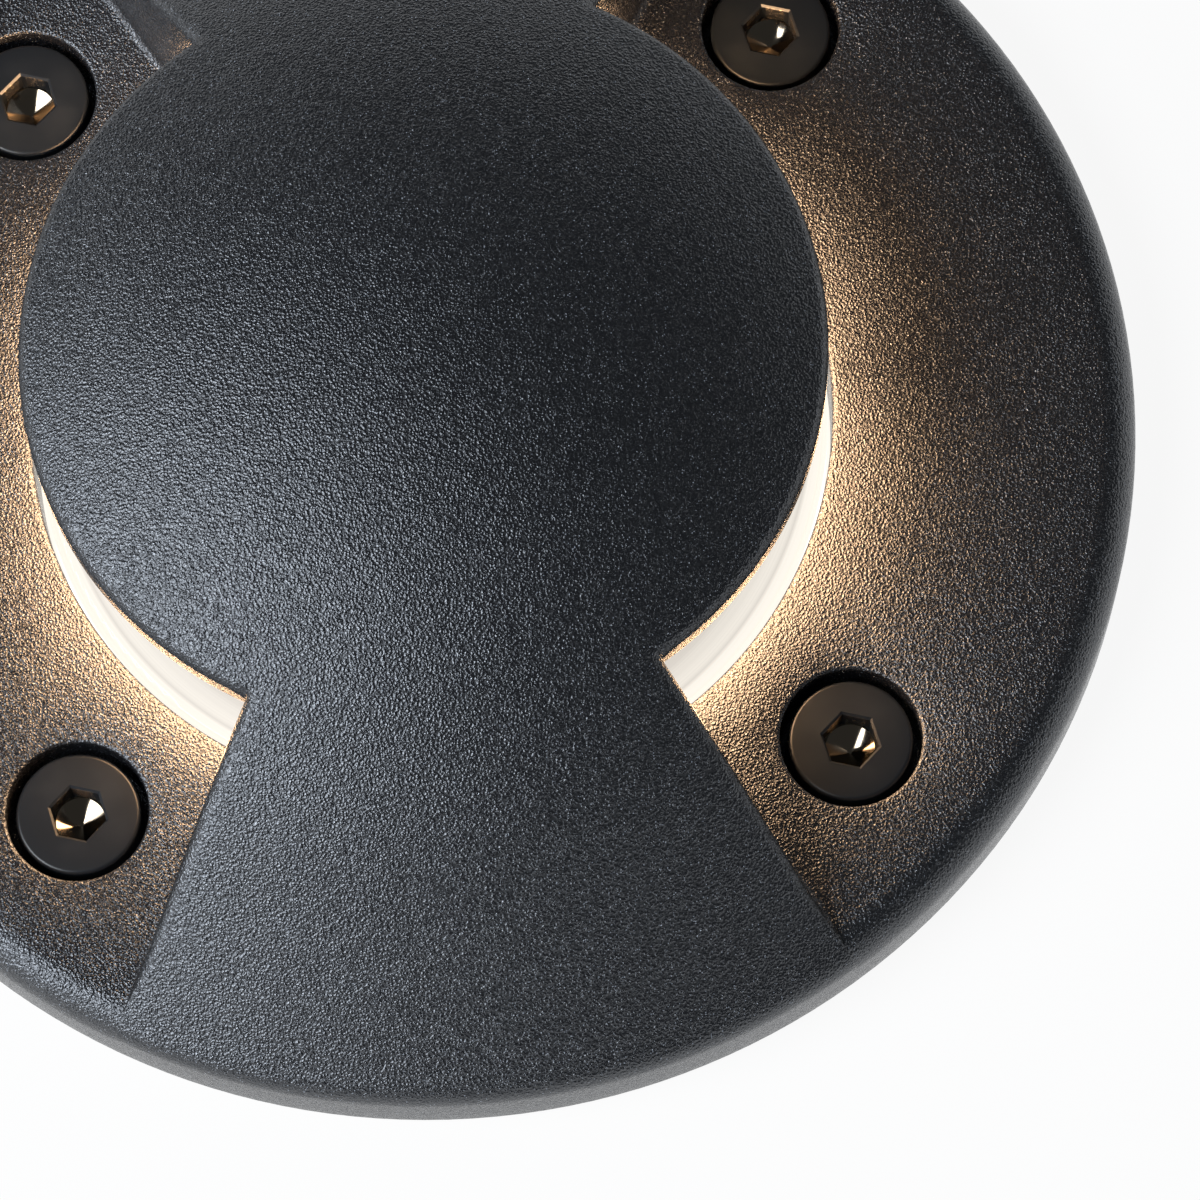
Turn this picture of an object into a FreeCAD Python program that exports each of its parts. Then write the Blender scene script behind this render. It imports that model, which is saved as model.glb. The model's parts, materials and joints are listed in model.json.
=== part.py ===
# In-ground spotlight: a round walk-over cover with two side windows, screwed to a cast
# housing that hangs in a mounting sleeve set in the ground.
# Lengths are millimetres and angles are degrees. +Z is up, and the origin is the middle
# of the sleeve's underside. The windows face +X and -X, and the cover's two arms +Y and -Y.
import FreeCAD, Part
import math
import os

vec = FreeCAD.Vector
up = vec(0, 0, 1)
across = vec(1, 0, 0)
along = vec(0, 1, 0)
origin = vec(0, 0, 0)

# Clearances
body_gap = 0.3
running_gap = 0.05
overrun = 5.0

# Cover
cover_overhang = 4.0
seat_relief = 0.3
seat_edge_gap = 0.3
rim_wall = 4.3
rim_round = 3.0
disc_edge_step = 0.65
disc_edge_round = 1.1
dome_height = 30.45
dome_curve_radius = 73.3
dome_wall = 2.4
arm_half_angle = 30.0
arm_foot_offset = 0.77
arm_draft_angle = 2.1
arm_foot_inset = 3.5
arm_blend_run = 3.0
arm_foot_step = 1.15
arm_rim_step = 0.3
arm_skin = 3.2
arm_pocket_half_angle = 21.0
seam_turn = 90.0
plate_skin = 3.3
plate_pocket_half_angle = 31.0
cover_land = 3.0

# Cover screws, their washers and threaded inserts
screw_count = 4
screw_first_angle = 45.0
screw_seat_gap = 5.95
screw_edge_margin = 9.65
screw_radius = 2.95
screw_length = 16.0
screw_end_bevel = 0.6
screw_hole_radius = 3.3
head_radius = 5.0
head_height = 4.0
head_edge_round = 0.35
head_sink = 0.8
socket_flats = 4.0
socket_depth = 2.3
socket_cone_depth = 0.9
socket_turn = 12.0
counterbore_radius = 5.7
washer_radius = 5.2
washer_bore_radius = 3.1
washer_thickness = 0.8
insert_radius = 4.2
insert_length = 12.0
insert_groove_depth = 0.4
insert_groove_height = 1.2

# Glass and its two gaskets
glass_top_above_paving = 5.6
glass_flange_reach = 4.95
glass_flange_thickness = 4.0
glass_wall = 4.0
glass_edge_round = 0.8
gasket_width = 3.6
gasket_thickness = 1.5
gasket_edge_gap = 0.4

# Housing
flange_thickness = 4.0
glass_seat_ledge = 3.9
collar_wall = 3.1
collar_depth = 3.7
pot_wall = 4.0
pot_floor = 4.0
pot_foot_bevel = 2.0
boss_radius = 6.5
boss_height = 18.0
boss_drill_depth = 15.0
rib_thickness = 3.0
rib_reach = 5.5
rib_height = 34.0

# Mounting sleeve
sleeve_wall = 2.2
sleeve_floor = 3.0
cable_room_height = 16.2
sleeve_band_reach = 1.8
sleeve_band_height = 3.0
sleeve_band_count = 3
sleeve_band_first = 24.0
sleeve_band_pitch = 36.0
cable_window_width = 24.0
cable_window_height = 16.0
cable_window_sill = 3.0
cable_drop_radius = 6.0
drain_radius = 4.5
drain_count = 6
drain_circle_radius = 36.0
centre_drain_radius = 12.0

# Lamp
lamp_glass_gap = 3.0
lamp_radius = 25.0
lamp_rim_height = 5.0
lamp_length = 48.0
lamp_shell = 1.6
lamp_neck_radius = 13.5
lamp_neck_height = 13.0
lamp_shoulder_radius = 16.5
lamp_lens_thickness = 2.0
lamp_lens_lip = 1.4
led_board_thickness = 1.6
led_board_depth = 9.0
led_size = 2.8
led_thickness = 0.7
led_count = 6
led_circle_radius = 12.0
lamp_base_radius = 12.5
lamp_base_height = 4.0
pin_spacing = 10.0
pin_neck_radius = 1.5
pin_head_radius = 2.5
pin_head_height = 2.0
pin_root = 2.0

# Lampholder
holder_radius = 14.0
holder_height = 14.0
holder_plate = 2.6
holder_well_inner_radius = 1.6
holder_well_radius = 8.4
pin_slot_gap = 0.35
twist_angle = 25.0
contact_thickness = 0.5
contact_half_angle = 30.0
contact_inner_radius = 3.2
contact_outer_radius = 7.2
holder_screw_offset = 10.8
holder_screw_radius = 1.45
holder_screw_head_radius = 2.7
holder_screw_head_height = 1.8
holder_screw_bite = 6.0
screw_slot_width = 0.8
screw_slot_depth = 0.8
lead_radius = 0.9
lead_stand_off = 4.0
lead_entry_depth = 4.0
lead_bend_radius = 3.2

# Bracket under the lampholder
bracket_thickness = 1.5
bracket_edge_land = 2.2
bracket_foot = 9.0
bracket_wall_gap = 2.68
bracket_lead_hole_radius = 1.6
bracket_screw_radius = 1.95
bracket_screw_head_radius = 3.5
bracket_screw_head_height = 2.4
bracket_screw_bite = 3.0
bracket_screw_inset = 4.5

# Terminal block
block_length = 27.0
block_width = 12.0
block_height = 13.0
wiring_room_height = 5.2
block_pole_pitch = 8.0
block_poles = 3
clamp_width = 4.4
clamp_height = 6.0
clamp_bore_radius = 1.5
clamp_lift = 4.5
clamp_cover = 0.8
clamp_screw_radius = 1.3
clamp_screw_inset = 2.4
clamp_screw_room = 0.2
clamp_wire_gap = 0.3
clamp_screw_sink = 0.8
clamp_screw_slot_width = 0.5
block_screw_radius = 1.2
block_screw_head_radius = 1.75
block_screw_head_height = 1.6
block_screw_bite = 2.6
block_screw_spacing = 8.0

# Earth connection
earth_angle = -45.0
earth_wall_gap = 3.2
earth_boss_radius = 4.2
earth_tag_thickness = 0.8
earth_tag_radius = 3.9
earth_tag_neck = 6.0
earth_tag_width = 2.6
earth_barrel_radius = 1.5
earth_barrel_length = 4.0
earth_barrel_wall = 0.8
earth_wire_run = 5.4
earth_bend_radius = 4.0
earth_screw_radius = 1.95
earth_screw_head_radius = 3.4
earth_screw_head_height = 2.2
earth_screw_bite = 5.0

# Cable entries in the housing floor
entry_lead_gap = 0.6
entry_wall_gap = 3.5
entry_thread_radius = 8.0
entry_hex_flats = 19.0
entry_hex_height = 5.0
entry_nut_height = 4.0
entry_thread_show = 1.0
entry_ring_radius = 9.4
entry_ring_thickness = 1.2
gland_bore_radius = 5.6
gland_neck_radius = 7.6
gland_neck_height = 7.0
gland_cap_radius = 9.4
gland_cap_height = 10.0
gland_cap_hole_radius = 4.6
gland_cap_lip = 1.6
gland_cap_round = 1.5
gland_cap_ribs = 12
gland_cap_rib_reach = 0.4
gland_cap_rib_width = 1.6
gland_seal_height = 8.0
cable_radius = 3.9
plug_slot_width = 1.6
plug_slot_depth = 1.6

# Heights that follow from the stack, from the sleeve's underside upwards
gland_cap_bottom_z = sleeve_floor + cable_room_height
entry_hex_bottom_z = gland_cap_bottom_z + gland_cap_height + body_gap
entry_hex_top_z = entry_hex_bottom_z + entry_hex_height
pot_bottom_z = entry_hex_top_z + entry_ring_thickness
pot_floor_z = pot_bottom_z + pot_floor
clamp_bottom_z = pot_floor_z + clamp_lift
clamp_axis_z = clamp_bottom_z + clamp_bore_radius + clamp_cover
clamp_screw_end_z = clamp_axis_z + clamp_bore_radius / 2
earth_boss_top_z = clamp_axis_z - earth_tag_thickness / 2
bracket_z = pot_floor_z + block_height + wiring_room_height
holder_bottom_z = bracket_z + bracket_thickness
holder_top_z = holder_bottom_z + holder_height
lamp_bottom_z = holder_top_z + body_gap
lamp_top_z = lamp_bottom_z + lamp_length
seat_z = lamp_top_z + lamp_glass_gap
glass_flange_bottom_z = seat_z + gasket_thickness
glass_flange_top_z = glass_flange_bottom_z + glass_flange_thickness
top_gasket_z = glass_flange_top_z
flange_top_z = top_gasket_z + gasket_thickness
flange_bottom_z = flange_top_z - flange_thickness
sleeve_height = flange_bottom_z - body_gap
pot_rim_z = seat_z - collar_depth
boss_bottom_z = flange_bottom_z - boss_height
paving_z = flange_top_z + body_gap
recess_z = paving_z + rim_wall + rim_round
dome_top_z = paving_z + dome_height
dome_centre_z = dome_top_z - dome_curve_radius
head_top_z = recess_z - head_sink
head_bottom_z = head_top_z - head_height
washer_top_z = head_bottom_z - running_gap
counterbore_z = washer_top_z - washer_thickness - running_gap
glass_top_z = paving_z + glass_top_above_paving

# Places and radii that follow from the fits, from the wiring outwards to the cover
lead_offset = block_width / 2 + lead_stand_off
entry_offset = lead_offset + lead_radius + entry_lead_gap + entry_hex_flats / 2
pot_inner_radius = entry_offset + entry_hex_flats / 2 + entry_wall_gap
pot_radius = pot_inner_radius + pot_wall
earth_circle_radius = pot_inner_radius - earth_wall_gap - earth_boss_radius
bracket_width = 2 * (holder_screw_offset + bracket_edge_land)
bracket_reach = math.sqrt((pot_inner_radius - bracket_wall_gap) ** 2 - (bracket_width / 2) ** 2)
bracket_half_span = bracket_reach - bracket_foot + bracket_thickness
bracket_screw_x = bracket_half_span + bracket_screw_inset
glass_seat_radius = pot_inner_radius + glass_seat_ledge
glass_flange_radius = glass_seat_radius - body_gap
opening_radius = glass_flange_radius - glass_flange_reach
glass_neck_radius = opening_radius - body_gap
glass_well_radius = glass_neck_radius - glass_wall
disc_radius = opening_radius - disc_edge_step
collar_radius = glass_seat_radius + collar_wall
screw_circle_radius = glass_seat_radius + screw_seat_gap
flange_radius = screw_circle_radius + screw_edge_margin
sleeve_radius = flange_radius
sleeve_inner_radius = sleeve_radius - sleeve_wall
cover_radius = flange_radius + cover_overhang
arm_foot_radius = cover_radius - arm_foot_inset
arm_blend_radius = arm_foot_radius - arm_blend_run
under_pocket_inner_radius = glass_seat_radius + cover_land
under_pocket_outer_radius = flange_radius - cover_land
insert_bore_radius = screw_radius + running_gap
holder_well_depth = body_gap + pin_head_height + body_gap + contact_thickness
clamp_length = block_width - 2 * clamp_cover
clamp_screw_well_radius = clamp_screw_radius + clamp_screw_room


def disc(radius, bottom, top, x=0, y=0):
    """An upright cylinder between two heights."""
    return Part.makeCylinder(radius, top - bottom, vec(x, y, bottom), up)


def ring(outer, inner, bottom, top, x=0, y=0):
    """An upright tube between two heights."""
    return disc(outer, bottom, top, x, y).cut(disc(inner, bottom, top, x, y))


def block(length, width, bottom, top, x=0, y=0):
    """A box centred on x and y between two heights."""
    return Part.makeBox(length, width, top - bottom, vec(x - length / 2, y - width / 2, bottom))


def turned(edges):
    """The solid swept by a closed outline in the XZ plane going once round the Z axis."""
    face = Part.Face(Part.Wire(Part.__sortEdges__(edges)))
    return face.revolve(origin, up, 360)


def lathe(points):
    """A turned solid from the radius and height of each corner of its outline."""
    corners = [vec(radius, 0, height) for radius, height in points]
    return turned([Part.LineSegment(a, b).toShape() for a, b in zip(corners, corners[1:] + corners[:1])])


def segment(start, end):
    """A straight edge of an outline between two radius and height pairs."""
    return Part.LineSegment(vec(start[0], 0, start[1]), vec(end[0], 0, end[1])).toShape()


def arc_about(centre, radius, first_angle, last_angle):
    """An arc of an outline about a centre, its angles measured from +X."""
    points = []
    for angle in (first_angle, (first_angle + last_angle) / 2, last_angle):
        turn = math.radians(angle)
        points.append(vec(centre[0] + radius * math.cos(turn), 0, centre[1] + radius * math.sin(turn)))
    return Part.Arc(*points).toShape()


def tangent_arc(start, angle, end):
    """An arc of an outline that leaves the start at the given angle and reaches the end."""
    turn = math.radians(angle)
    normal = (-math.sin(turn), math.cos(turn))
    step = (end[0] - start[0], end[1] - start[1])
    radius = (step[0] ** 2 + step[1] ** 2) / (2 * (step[0] * normal[0] + step[1] * normal[1]))
    centre = (start[0] + normal[0] * radius, start[1] + normal[1] * radius)
    chord = ((start[0] + end[0]) / 2 - centre[0], (start[1] + end[1]) / 2 - centre[1])
    reach = abs(radius) / math.hypot(*chord)
    middle = vec(centre[0] + chord[0] * reach, 0, centre[1] + chord[1] * reach)
    return Part.Arc(vec(start[0], 0, start[1]), middle, vec(end[0], 0, end[1])).toShape()


def hexagon(flats, bottom, top, x=0, y=0):
    """A hexagonal prism with its flats the given distance apart."""
    corner = flats / 2 / math.cos(math.pi / 6)
    points = [vec(x + corner * math.cos(k * math.pi / 3), y + corner * math.sin(k * math.pi / 3), bottom)
              for k in range(6)]
    face = Part.Face(Part.makePolygon(points + points[:1]))
    return face.extrude(vec(0, 0, top - bottom))


def sector(half_angle, middle_angle, reach, bottom, top):
    """An upright wedge from the Z axis outward, to keep a part of a ring."""
    corners = [vec(0, 0, bottom)]
    for angle in (middle_angle - half_angle, middle_angle + half_angle):
        turn = math.radians(angle)
        corners.append(vec(reach * math.cos(turn), reach * math.sin(turn), bottom))
    return Part.Face(Part.makePolygon(corners + corners[:1])).extrude(vec(0, 0, top - bottom))


def spun(shape, angle):
    """A copy of a shape turned about the Z axis."""
    copy = shape.copy()
    copy.rotate(origin, up, angle)
    return copy


def moved(shape, x, y, z):
    """A copy of a shape at another place."""
    copy = shape.copy()
    copy.translate(vec(x, y, z))
    return copy


def joined(shapes):
    """One solid made of shapes that overlap."""
    return shapes[0].multiFuse(shapes[1:]).removeSplitter()


def group(shapes):
    """Separate solids kept together in one node."""
    return Part.makeCompound(shapes)


def polar(radius, angle):
    """The x and y of a place at a radius and an angle."""
    turn = math.radians(angle)
    return radius * math.cos(turn), radius * math.sin(turn)


def bent_tube(points, bend_radius, radius):
    """A round wire along straight runs joined by tangent arcs of one radius."""
    edges = []
    start = points[0]
    for before, corner, after in zip(points, points[1:], points[2:]):
        way_in = (before - corner).normalize()
        way_out = (after - corner).normalize()
        half = way_in.getAngle(way_out) / 2
        setback = bend_radius / math.tan(half)
        middle = (way_in + way_out).normalize() * (bend_radius / math.sin(half) - bend_radius)
        first = corner + way_in * setback
        last = corner + way_out * setback
        edges.append(Part.LineSegment(start, first).toShape())
        edges.append(Part.Arc(first, corner + middle, last).toShape())
        start = last
    edges.append(Part.LineSegment(start, points[-1]).toShape())
    path = Part.Wire(edges)
    section = Part.Wire(Part.makeCircle(radius, points[0], points[1] - points[0]))
    return path.makePipeShell([section], True, False)


def slotted_screw(thread_radius, bite, screw_head_radius, screw_head_height):
    """A cheese-head screw with its head's underside at the origin."""
    head = disc(screw_head_radius, 0, screw_head_height)
    shank = disc(thread_radius, -bite, 0)
    slot = block(3 * screw_head_radius, screw_slot_width, screw_head_height - screw_slot_depth,
                 screw_head_height + overrun)
    return joined([head, shank]).cut(slot)


def dome_height_at(radius, curve_radius):
    """The height of a sphere about the dome's centre over a radius from the axis."""
    return dome_centre_z + math.sqrt(curve_radius ** 2 - radius ** 2)


def dome_ball(radius):
    """A ball about the dome's centre, its own axis level so that no pole meets the dome."""
    ball = Part.makeSphere(radius, vec(0, 0, dome_centre_z), across)
    ball.rotate(vec(0, 0, dome_centre_z), across, seam_turn)
    return ball


def cover_blank():
    """The cover's outer form with an arm's profile all the way round."""
    blend = (arm_blend_radius, dome_height_at(arm_blend_radius, dome_curve_radius))
    foot = (arm_foot_radius, recess_z + arm_foot_step)
    wall_top = (cover_radius, paving_z + rim_wall + arm_rim_step)
    fall_angle = -math.degrees(math.asin(arm_blend_radius / dome_curve_radius))
    skirt = turned([
        segment((0, paving_z), (cover_radius, paving_z)),
        segment((cover_radius, paving_z), wall_top),
        tangent_arc(wall_top, 90, foot),
        tangent_arc(blend, fall_angle, foot),
        segment(blend, (0, blend[1])),
        segment((0, blend[1]), (0, paving_z)),
    ])
    dome = disc(arm_blend_radius, paving_z, dome_top_z + overrun).common(dome_ball(dome_curve_radius))
    return joined([skirt, dome])


def cover_cavity():
    """The hollow under the disc, from the paving up to the dome's inner face."""
    bore = disc(opening_radius, paving_z - overrun, dome_top_z)
    return bore.common(dome_ball(dome_curve_radius - dome_wall))


def recess_cutter():
    """All that is cut away above the recessed plate, outside the disc's edge."""
    ceiling = dome_top_z + overrun
    reach = cover_radius + overrun
    edge_curve = dome_curve_radius - disc_edge_round
    edge_centre_radius = disc_radius - disc_edge_round
    edge_centre = (edge_centre_radius, dome_height_at(edge_centre_radius, edge_curve))
    lean = math.degrees(math.acos(edge_centre_radius / edge_curve))
    top = math.radians(lean)
    round_end = (edge_centre[0] + disc_edge_round * math.cos(top),
                 edge_centre[1] + disc_edge_round * math.sin(top))
    rim_centre = (cover_radius - rim_round, paving_z + rim_wall)
    return turned([
        segment((disc_radius, recess_z), (disc_radius, edge_centre[1])),
        arc_about(edge_centre, disc_edge_round, 0, lean),
        segment(round_end, (round_end[0], ceiling)),
        segment((round_end[0], ceiling), (reach, ceiling)),
        segment((reach, ceiling), (reach, rim_centre[1])),
        segment((reach, rim_centre[1]), (cover_radius, rim_centre[1])),
        arc_about(rim_centre, rim_round, 0, 90),
        segment((rim_centre[0], recess_z), (disc_radius, recess_z)),
    ])


def recess_sector(middle_angle):
    """The wedge between the arms' drafted sides on one side of the cover."""
    half_angle = 90 - arm_half_angle
    reach = (cover_radius + overrun) / math.cos(math.radians(half_angle))
    ends = []
    for height in (paving_z, dome_top_z + overrun):
        offset = arm_foot_offset - (height - recess_z) * math.tan(math.radians(arm_draft_angle))
        tip = offset / math.sin(math.radians(half_angle))
        corners = [vec(tip, 0, height)]
        for angle in (-half_angle, half_angle):
            dx, dy = polar(reach, angle)
            corners.append(vec(tip + dx, dy, height))
        ends.append(corners)
    lower, upper = ends
    outlines = [lower, upper]
    for k in range(len(lower)):
        following = (k + 1) % len(lower)
        outlines.append([lower[k], lower[following], upper[following], upper[k]])
    faces = [Part.Face(Part.makePolygon(outline + outline[:1])) for outline in outlines]
    return spun(Part.Solid(Part.Shell(faces)), middle_angle)


def under_pocket(roof_curve, roof_z, half_angle, middle_angle):
    """A pocket in the cover's underside that leaves a skin of even thickness."""
    inner, outer = under_pocket_inner_radius, under_pocket_outer_radius
    if roof_curve:
        inner_angle = math.degrees(math.acos(inner / roof_curve))
        outer_angle = math.degrees(math.acos(outer / roof_curve))
        roof = arc_about((0, dome_centre_z), roof_curve, outer_angle, inner_angle)
        inner_top, outer_top = dome_height_at(inner, roof_curve), dome_height_at(outer, roof_curve)
    else:
        roof = segment((outer, roof_z), (inner, roof_z))
        inner_top, outer_top = roof_z, roof_z
    floor_z = paving_z - overrun
    body = turned([
        segment((inner, floor_z), (outer, floor_z)),
        segment((outer, floor_z), (outer, outer_top)),
        roof,
        segment((inner, inner_top), (inner, floor_z)),
    ])
    return body.common(sector(half_angle, middle_angle, 2 * cover_radius, floor_z, dome_top_z))


def screw_places():
    """The centre of each cover screw."""
    return [polar(screw_circle_radius, screw_first_angle + k * 360 / screw_count)
            for k in range(screw_count)]


def make_cover():
    """The cast cover: ring plate, two arms and the raised disc over the lit opening."""
    cuts = [
        cover_cavity(),
        disc(flange_radius + seat_edge_gap, paving_z - overrun, paving_z + seat_relief),
    ]
    for side in (0, 180):
        cuts.append(recess_cutter().common(recess_sector(side)))
        cuts.append(under_pocket(0, recess_z - plate_skin, plate_pocket_half_angle, side))
        cuts.append(under_pocket(dome_curve_radius - arm_skin, 0, arm_pocket_half_angle, side + 90))
    for x, y in screw_places():
        cuts.append(disc(counterbore_radius, counterbore_z, recess_z + overrun, x, y))
        cuts.append(disc(screw_hole_radius, paving_z - overrun, counterbore_z + overrun, x, y))
    shape = cover_blank()
    for cut in cuts:
        shape = shape.cut(cut)
    return shape


def make_cover_screw():
    """A low-head socket screw on the Z axis, at its own height in the part."""
    bottom = head_bottom_z - screw_length
    body = lathe([
        (0, bottom),
        (screw_radius - screw_end_bevel, bottom),
        (screw_radius, bottom + screw_end_bevel),
        (screw_radius, head_bottom_z),
        (head_radius, head_bottom_z),
        (head_radius, head_top_z - head_edge_round),
        (head_radius - head_edge_round, head_top_z),
        (0, head_top_z),
    ])
    socket = hexagon(socket_flats, head_top_z - socket_depth, head_top_z + overrun)
    corner = socket_flats / 2 / math.cos(math.pi / 6)
    cone = Part.makeCone(0, corner, socket_cone_depth,
                         vec(0, 0, head_top_z - socket_depth - socket_cone_depth), up)
    core = disc(socket_flats / 2, head_top_z - socket_depth - socket_cone_depth,
                head_top_z - socket_depth)
    return body.cut(socket).cut(cone.common(core))


def make_screw_washer():
    """The sealing washer under a cover screw's head."""
    return ring(washer_radius, washer_bore_radius, washer_top_z - washer_thickness, washer_top_z)


def make_threaded_inserts():
    """The four brass inserts pressed into the flange's bosses, each with a grip groove."""
    top = flange_top_z
    bottom = top - insert_length
    groove_bottom = (top + bottom - insert_groove_height) / 2
    insert = ring(insert_radius, insert_bore_radius, bottom, top)
    groove = ring(insert_radius + overrun, insert_radius - insert_groove_depth, groove_bottom,
                  groove_bottom + insert_groove_height)
    insert = insert.cut(groove)
    return group([moved(insert, x, y, 0) for x, y in screw_places()])


def make_glass_lens():
    """Pressed glass: a raised drum that fills the cover's opening, on a clamped flange."""
    well_top = glass_top_z - glass_wall
    return turned([
        segment((glass_well_radius, glass_flange_bottom_z), (glass_flange_radius, glass_flange_bottom_z)),
        segment((glass_flange_radius, glass_flange_bottom_z), (glass_flange_radius, glass_flange_top_z)),
        segment((glass_flange_radius, glass_flange_top_z), (glass_neck_radius, glass_flange_top_z)),
        segment((glass_neck_radius, glass_flange_top_z),
                (glass_neck_radius, glass_top_z - glass_edge_round)),
        arc_about((glass_neck_radius - glass_edge_round, glass_top_z - glass_edge_round),
                  glass_edge_round, 0, 90),
        segment((glass_neck_radius - glass_edge_round, glass_top_z), (0, glass_top_z)),
        segment((0, glass_top_z), (0, well_top)),
        segment((0, well_top), (glass_well_radius, well_top)),
        segment((glass_well_radius, well_top), (glass_well_radius, glass_flange_bottom_z)),
    ])


def make_gasket(bottom):
    """A flat silicone ring on the glass flange's width."""
    outer = glass_flange_radius - gasket_edge_gap
    return ring(outer, outer - gasket_width, bottom, bottom + gasket_thickness)


def make_housing():
    """The housing's pot, open at the top, with the cable entries and tapped holes in its floor."""
    shape = lathe([
        (0, pot_bottom_z),
        (pot_radius - pot_foot_bevel, pot_bottom_z),
        (pot_radius, pot_bottom_z + pot_foot_bevel),
        (pot_radius, pot_rim_z),
        (0, pot_rim_z),
    ])
    cuts = [disc(pot_inner_radius, pot_floor_z, pot_rim_z + overrun)]
    for side in (-1, 1):
        cuts.append(disc(entry_thread_radius, pot_bottom_z - overrun, pot_floor_z + overrun,
                         0, side * entry_offset))
        cuts.append(disc(bracket_screw_radius, pot_floor_z - bracket_screw_bite, pot_floor_z + overrun,
                         side * bracket_screw_x, 0))
        cuts.append(disc(block_screw_radius, pot_floor_z - block_screw_bite, pot_floor_z + overrun,
                         side * block_screw_spacing / 2, 0))
    shape = shape.cut(group(cuts))
    boss = disc(earth_boss_radius, pot_floor_z, earth_boss_top_z, *earth_place())
    hole_bottom = earth_boss_top_z + earth_tag_thickness - earth_screw_bite
    hole = disc(earth_screw_radius, hole_bottom, earth_boss_top_z + overrun, *earth_place())
    return joined([shape, boss]).cut(hole)


def make_housing_flange():
    """The cast ring on the pot's rim: collar, glass seat, flange and four screw bosses."""
    solids = [lathe([
        (pot_inner_radius, pot_rim_z),
        (collar_radius, pot_rim_z),
        (collar_radius, flange_bottom_z),
        (flange_radius, flange_bottom_z),
        (flange_radius, flange_top_z),
        (glass_seat_radius, flange_top_z),
        (glass_seat_radius, seat_z),
        (pot_inner_radius, seat_z),
    ])]
    for x, y in screw_places():
        solids.append(disc(boss_radius, boss_bottom_z, flange_bottom_z, x, y))
    shape = joined(solids).cut(disc(pot_radius, boss_bottom_z - overrun, pot_rim_z))
    for x, y in screw_places():
        shape = shape.cut(disc(insert_radius, flange_top_z - insert_length, flange_top_z + overrun, x, y))
        shape = shape.cut(disc(screw_hole_radius, flange_top_z - boss_drill_depth, flange_top_z, x, y))
    return shape


def make_housing_ribs():
    """The four gussets that stand on the pot's wall under the screw bosses."""
    rib = block(2 * rib_reach, rib_thickness, boss_bottom_z - rib_height, boss_bottom_z, pot_radius)
    rib = rib.cut(disc(pot_radius, boss_bottom_z - rib_height, boss_bottom_z))
    return group([spun(rib, screw_first_angle + k * 360 / screw_count) for k in range(screw_count)])


def make_mounting_sleeve():
    """The sleeve set in the ground: gripping bands, drains, cable windows and cable holes."""
    solids = [disc(sleeve_radius, 0, sleeve_height)]
    for k in range(sleeve_band_count):
        bottom = sleeve_band_first + k * sleeve_band_pitch
        solids.append(disc(sleeve_radius + sleeve_band_reach, bottom, bottom + sleeve_band_height))
    shape = joined(solids)
    cuts = [
        disc(sleeve_inner_radius, sleeve_floor, sleeve_height + overrun),
        disc(centre_drain_radius, -overrun, sleeve_floor + overrun),
    ]
    for k in range(drain_count):
        x, y = polar(drain_circle_radius, (k + 0.5) * 360 / drain_count)
        cuts.append(disc(drain_radius, -overrun, sleeve_floor + overrun, x, y))
    for side in (-1, 1):
        cuts.append(disc(cable_drop_radius, -overrun, sleeve_floor + overrun, 0, side * entry_offset))
    sill = sleeve_floor + cable_window_sill
    cuts.append(block(cable_window_width, 3 * sleeve_radius, sill, sill + cable_window_height))
    for cut in cuts:
        shape = shape.cut(cut)
    return shape


def make_lamp_body():
    """The lamp's cup: a thin shell from the wide rim down to its neck."""
    rim_bottom = lamp_top_z - lamp_rim_height
    neck_top = lamp_bottom_z + lamp_base_height + lamp_neck_height
    bottom = lamp_bottom_z + lamp_base_height
    outside = [
        (lamp_radius, lamp_top_z),
        (lamp_radius, rim_bottom),
        (lamp_shoulder_radius, neck_top),
        (lamp_neck_radius, neck_top),
        (lamp_neck_radius, bottom),
    ]
    inside = [
        (0, bottom),
        (0, bottom + lamp_shell),
        (lamp_neck_radius - lamp_shell, bottom + lamp_shell),
        (lamp_neck_radius - lamp_shell, neck_top + lamp_shell),
        (lamp_shoulder_radius - lamp_shell, neck_top + lamp_shell),
        (lamp_radius - lamp_shell, rim_bottom),
        (lamp_radius - lamp_shell, lamp_top_z),
    ]
    return lathe(outside + inside)


def lamp_cup_radius(height):
    """The inner radius of the lamp's cup at a height on its cone."""
    rim_bottom = lamp_top_z - lamp_rim_height
    cone_bottom = lamp_bottom_z + lamp_base_height + lamp_neck_height + lamp_shell
    share = (height - cone_bottom) / (rim_bottom - cone_bottom)
    return lamp_shoulder_radius + share * (lamp_radius - lamp_shoulder_radius) - lamp_shell


def make_lamp_lens():
    """The lamp's front lens, seated inside the rim."""
    radius = lamp_radius - lamp_shell
    return lathe([
        (0, lamp_top_z - lamp_lens_thickness),
        (radius - lamp_lens_lip, lamp_top_z - lamp_lens_thickness),
        (radius - lamp_lens_lip, lamp_top_z - lamp_rim_height),
        (radius, lamp_top_z - lamp_rim_height),
        (radius, lamp_top_z),
        (0, lamp_top_z),
    ])


def make_led_board():
    """The round board with its light chips, held by its edge in the lamp's cone."""
    top = lamp_top_z - led_board_depth
    bottom = top - led_board_thickness
    board = Part.makeCone(lamp_cup_radius(bottom), lamp_cup_radius(top), led_board_thickness,
                          vec(0, 0, bottom), up)
    chips = []
    for k in range(led_count):
        chip = block(led_size, led_size, top, top + led_thickness, led_circle_radius)
        chips.append(spun(chip, k * 360 / led_count))
    return board, group(chips)


def make_lamp_base():
    """The plastic foot that closes the lamp's neck and carries the two pins."""
    foot = disc(lamp_base_radius, lamp_bottom_z, lamp_bottom_z + lamp_base_height)
    holes = [disc(pin_neck_radius, lamp_bottom_z, lamp_bottom_z + pin_root, side * pin_spacing / 2, 0)
             for side in (-1, 1)]
    return foot.cut(group(holes))


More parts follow.
